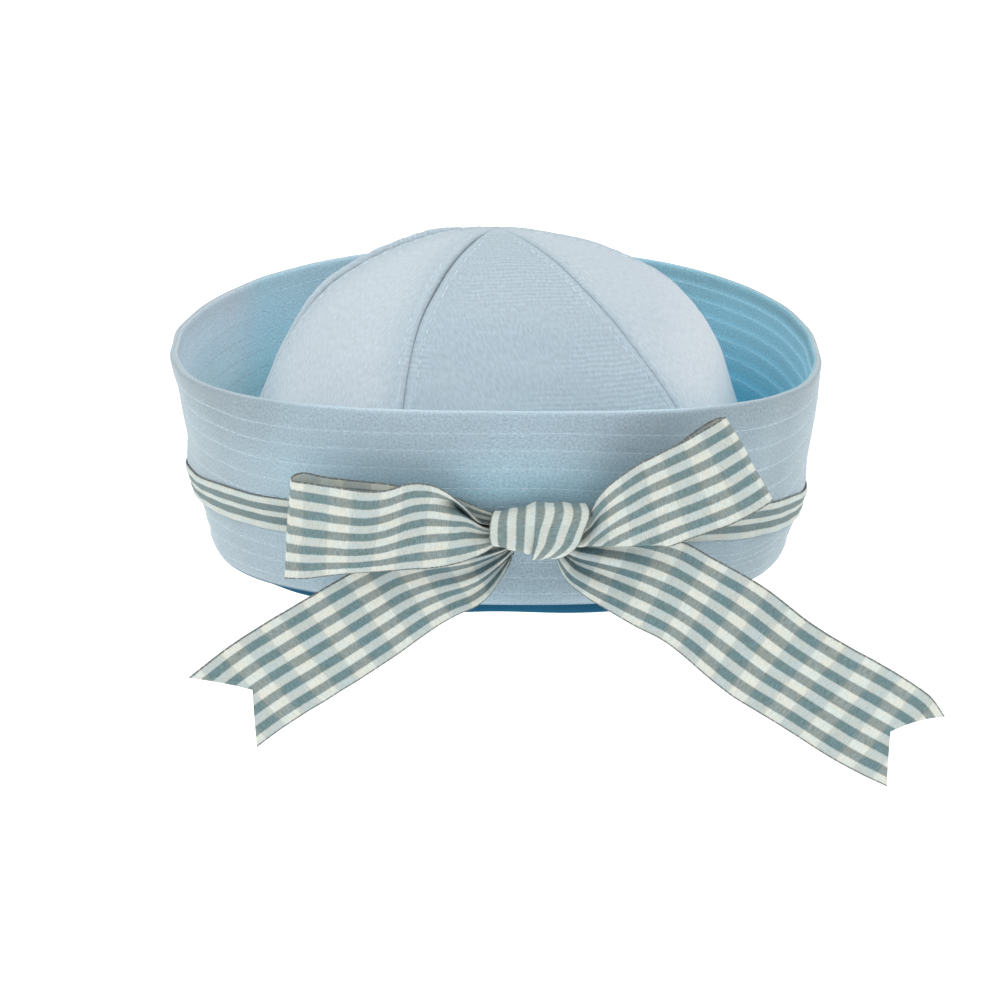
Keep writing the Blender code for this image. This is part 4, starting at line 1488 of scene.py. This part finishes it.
class CAP_OT_loops(Operator):
    """Make the two folded loops of the bow"""

    bl_idname = "cap.loops"
    bl_label = "Loops"

    def execute(self, context):
        across = np.linspace(0, 1, 67)
        wall = context.scene.cap_sizes.ribbon_wall / MM
        there = np.linspace(0, 1, 90)
        travel = np.concatenate([there, [1], there[::-1]])[:, None]
        ahead = np.arange(len(travel))[:, None] <= len(there)
        for side, front, back, creases in (
            ("left", LEFT_LOOP_FRONT, LEFT_LOOP_BACK, LEFT_CREASES),
            ("right", RIGHT_LOOP_FRONT, RIGHT_LOOP_BACK, RIGHT_CREASES),
        ):
            points = loop_points(front, back, len(there), across)
            uv = ribbon_map(lengths_along(points[:, len(across) // 2])[:, None], across)
            shade = 0
            if side == "left":
                swell = spline(LEFT_LOOP_SWELL[:, 0], LEFT_LOOP_SWELL[:, 1:], travel[:, 0])
                points[..., 2] += swell * ahead * 4 * across * (1 - across)
                # Painted shade in the pocket under the front layer's top edge near the knot,
                # and on the back layer inside the loop.
                pocket_shadow = 1.6 * bell(across - 0.80, 0.07) * ahead + 0.5 * ~ahead
                shade = pocket_shadow * (1 - ease(travel, 0.12, 0.3))
            amount = 0.40 * unevenness(points, 26, 3) + 0.12 * unevenness(points, 8, 13)
            for crease in creases:
                line = crease.across + crease.climb * travel
                depth = crease.depth * (1 - ease(travel, crease.start, crease.end)) * ahead
                amount = amount - depth * bell(across - line, crease.width)
            outward = grid_normals(points)
            outward = outward * np.sign(-outward[..., 1:2]) * np.where(ahead, 1, -1)[..., None]
            points = points + outward * amount[..., None]
            if side == "right":
                points = rolled_under(points, ahead)
            values = {"cross": np.where(ahead, LOOP_CROSS, 1), "shade": shade}
            mesh = shell(side + "_loop_cloth", points, wall, uv, **values)
            length = uv[-1, 0, 0]
            show_ribbon(mesh, "bow_loop_" + side, length, "folded", "ribbon_band_cloth")
        return {"FINISHED"}


class CAP_OT_tails(Operator):
    """Make the two tails of the bow with their swallow-tail ends"""

    bl_idname = "cap.tails"
    bl_label = "Tails"

    def execute(self, context):
        across = np.linspace(0, 1, 67)
        wall = context.scene.cap_sizes.ribbon_wall / MM
        for side, edges, seed in (("left", LEFT_TAIL, 51), ("right", RIGHT_TAIL, 52)):
            length = lengths_along(edges.top)[-1]
            cut = TAIL_NOTCH / length * (1 - np.abs(2 * across - 1))
            share = np.linspace(0, 1, 130)[:, None] * (1 - cut)
            top, bottom = (along(edge, share) for edge in edges)
            points = bottom + (top - bottom) * across[:, None]
            folds = TAIL_GATHER * np.cos(across * FULL_TURN * TAIL_FOLDS)
            gather = folds * (1 - ease(share, 0.02, 0.35))
            wave = 0.9 * unevenness(points, 48, seed) * ease(share, 0.1, 0.6)
            amount = gather + wave + 0.10 * unevenness(points, 9, 14)
            points = points + grid_normals(points) * amount[..., None]
            # Painted shade near the knot, where the loops shade the tails.
            values = {"cross": 1, "shade": 1 - ease(share, 0, 0.3)}
            uv = ribbon_map(share * length, across)
            mesh = shell(side + "_tail_cloth", points, wall, uv, **values)
            show_ribbon(mesh, "bow_tail_" + side, length, "hung", "knot_cloth")
        return {"FINISHED"}


class CAP_OT_stage(Operator):
    """Make the floor, the soft studio light and the camera"""

    bl_idname = "cap.stage"
    bl_label = "Stage"

    def execute(self, context):
        scene = context.scene
        height = scene.cap_sizes.floor_height
        half = FLOOR_HALF_SIZE * MM
        ways = ((-1, -1), (1, -1), (1, 1), (-1, 1))
        mesh = bpy.data.meshes.new("floor")
        mesh.from_pydata([(x * half, y * half, height) for x, y in ways], [], [(0, 1, 2, 3)])
        floor = bpy.data.objects.new("floor", mesh)
        scene.collection.objects.link(floor)
        material, net, shader = new_material("pale floor", 0.9)
        tone = net.remap(net.noise(net.place(), 3), 0.3, 0.7)
        colour = net.blend(tone, (0.93, 0.93, 0.93), (0.95, 0.95, 0.95))
        net.fill(shader, {"Base Color": colour, "Emission Color": WHITE})
        net.fill(shader, {"Emission Strength": FLOOR_GLOW})
        mesh.materials.append(material)

        scene.world = bpy.data.worlds.new("studio")
        scene.world.use_nodes = True
        net = Net(scene.world.node_tree)
        seen = net.add("LightPath")["Is Camera Ray"]
        upward = net.parts(net.add("TexCoord")["Generated"])[2]
        level = net.remap(upward, 0, 1, SKY_LEVEL, SKY_OVERHEAD, "LINEAR")
        colour = net.blend(seen, SKY_COLOUR, WHITE)
        sky = {"Strength": net.mix(seen, level, 1), "Color": colour}
        net.fill(net.tree.nodes["Background"], sky)

        def put(data, place, aim):
            """Put a lamp or a camera in the scene and point it along a vector."""
            thing = bpy.data.objects.new(data.name, data)
            scene.collection.objects.link(thing)
            thing.location = place
            thing.rotation_euler = aim.to_track_quat("-Z", "Y").to_euler()
            return thing

        for name, place, power, breadth, tint in LAMPS:
            lamp = bpy.data.lights.new(name, "AREA")
            lamp.shape = "DISK"
            lamp.size = breadth
            lamp.energy = power
            lamp.color = tint
            put(lamp, place, Vector((0, 0, 0.04)) - Vector(place))

        camera = bpy.data.cameras.new("camera")
        camera.lens = CAMERA_LENS * scene.cap_sizes.camera_distance / (CAMERA_DISTANCE * MM)
        camera.sensor_width = 36
        camera.clip_start, camera.clip_end = 0.05, 50
        tilt = math.radians(CAMERA_ELEVATION)
        back = Vector((0, -math.cos(tilt), math.sin(tilt)))
        place = Vector(CAMERA_TARGET) * MM + back * scene.cap_sizes.camera_distance
        scene.camera = put(camera, place, -back)
        scene.view_settings.view_transform = "Standard"
        return {"FINISHED"}


class CAP_PT_panel(Panel):
    """Sizes, colours and pieces of the sailor cap"""

    bl_label = "Sailor Cap"
    bl_idname = "CAP_PT_panel"
    bl_space_type = "VIEW_3D"
    bl_region_type = "UI"
    bl_category = "Sailor Cap"

    def draw(self, context):
        layout = self.layout
        for group in (context.scene.cap_sizes, context.scene.cap_colours):
            for name in group.__annotations__:
                layout.prop(group, name)
        for operator in OPERATORS:
            layout.operator(operator.bl_idname)


OPERATORS = (
    CAP_OT_crown, CAP_OT_brim, CAP_OT_sweatband, CAP_OT_ribbon_band,
    CAP_OT_loops, CAP_OT_tails, CAP_OT_knot, CAP_OT_stage,
)
CLASSES = (CapSizes, CapColours, *OPERATORS, CAP_PT_panel)


def register():
    for each in CLASSES:
        bpy.utils.register_class(each)
    bpy.types.Scene.cap_sizes = PointerProperty(type=CapSizes)
    bpy.types.Scene.cap_colours = PointerProperty(type=CapColours)


def unregister():
    del bpy.types.Scene.cap_sizes
    del bpy.types.Scene.cap_colours
    for each in reversed(CLASSES):
        bpy.utils.unregister_class(each)


def main():
    """Register the classes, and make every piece."""
    register()
    for maker in (weave_group, tone_group, gingham_group):
        maker()
    for operator in OPERATORS:
        area, action = operator.bl_idname.split(".")
        getattr(getattr(bpy.ops, area), action)()


if __name__ == "__main__":
    main()
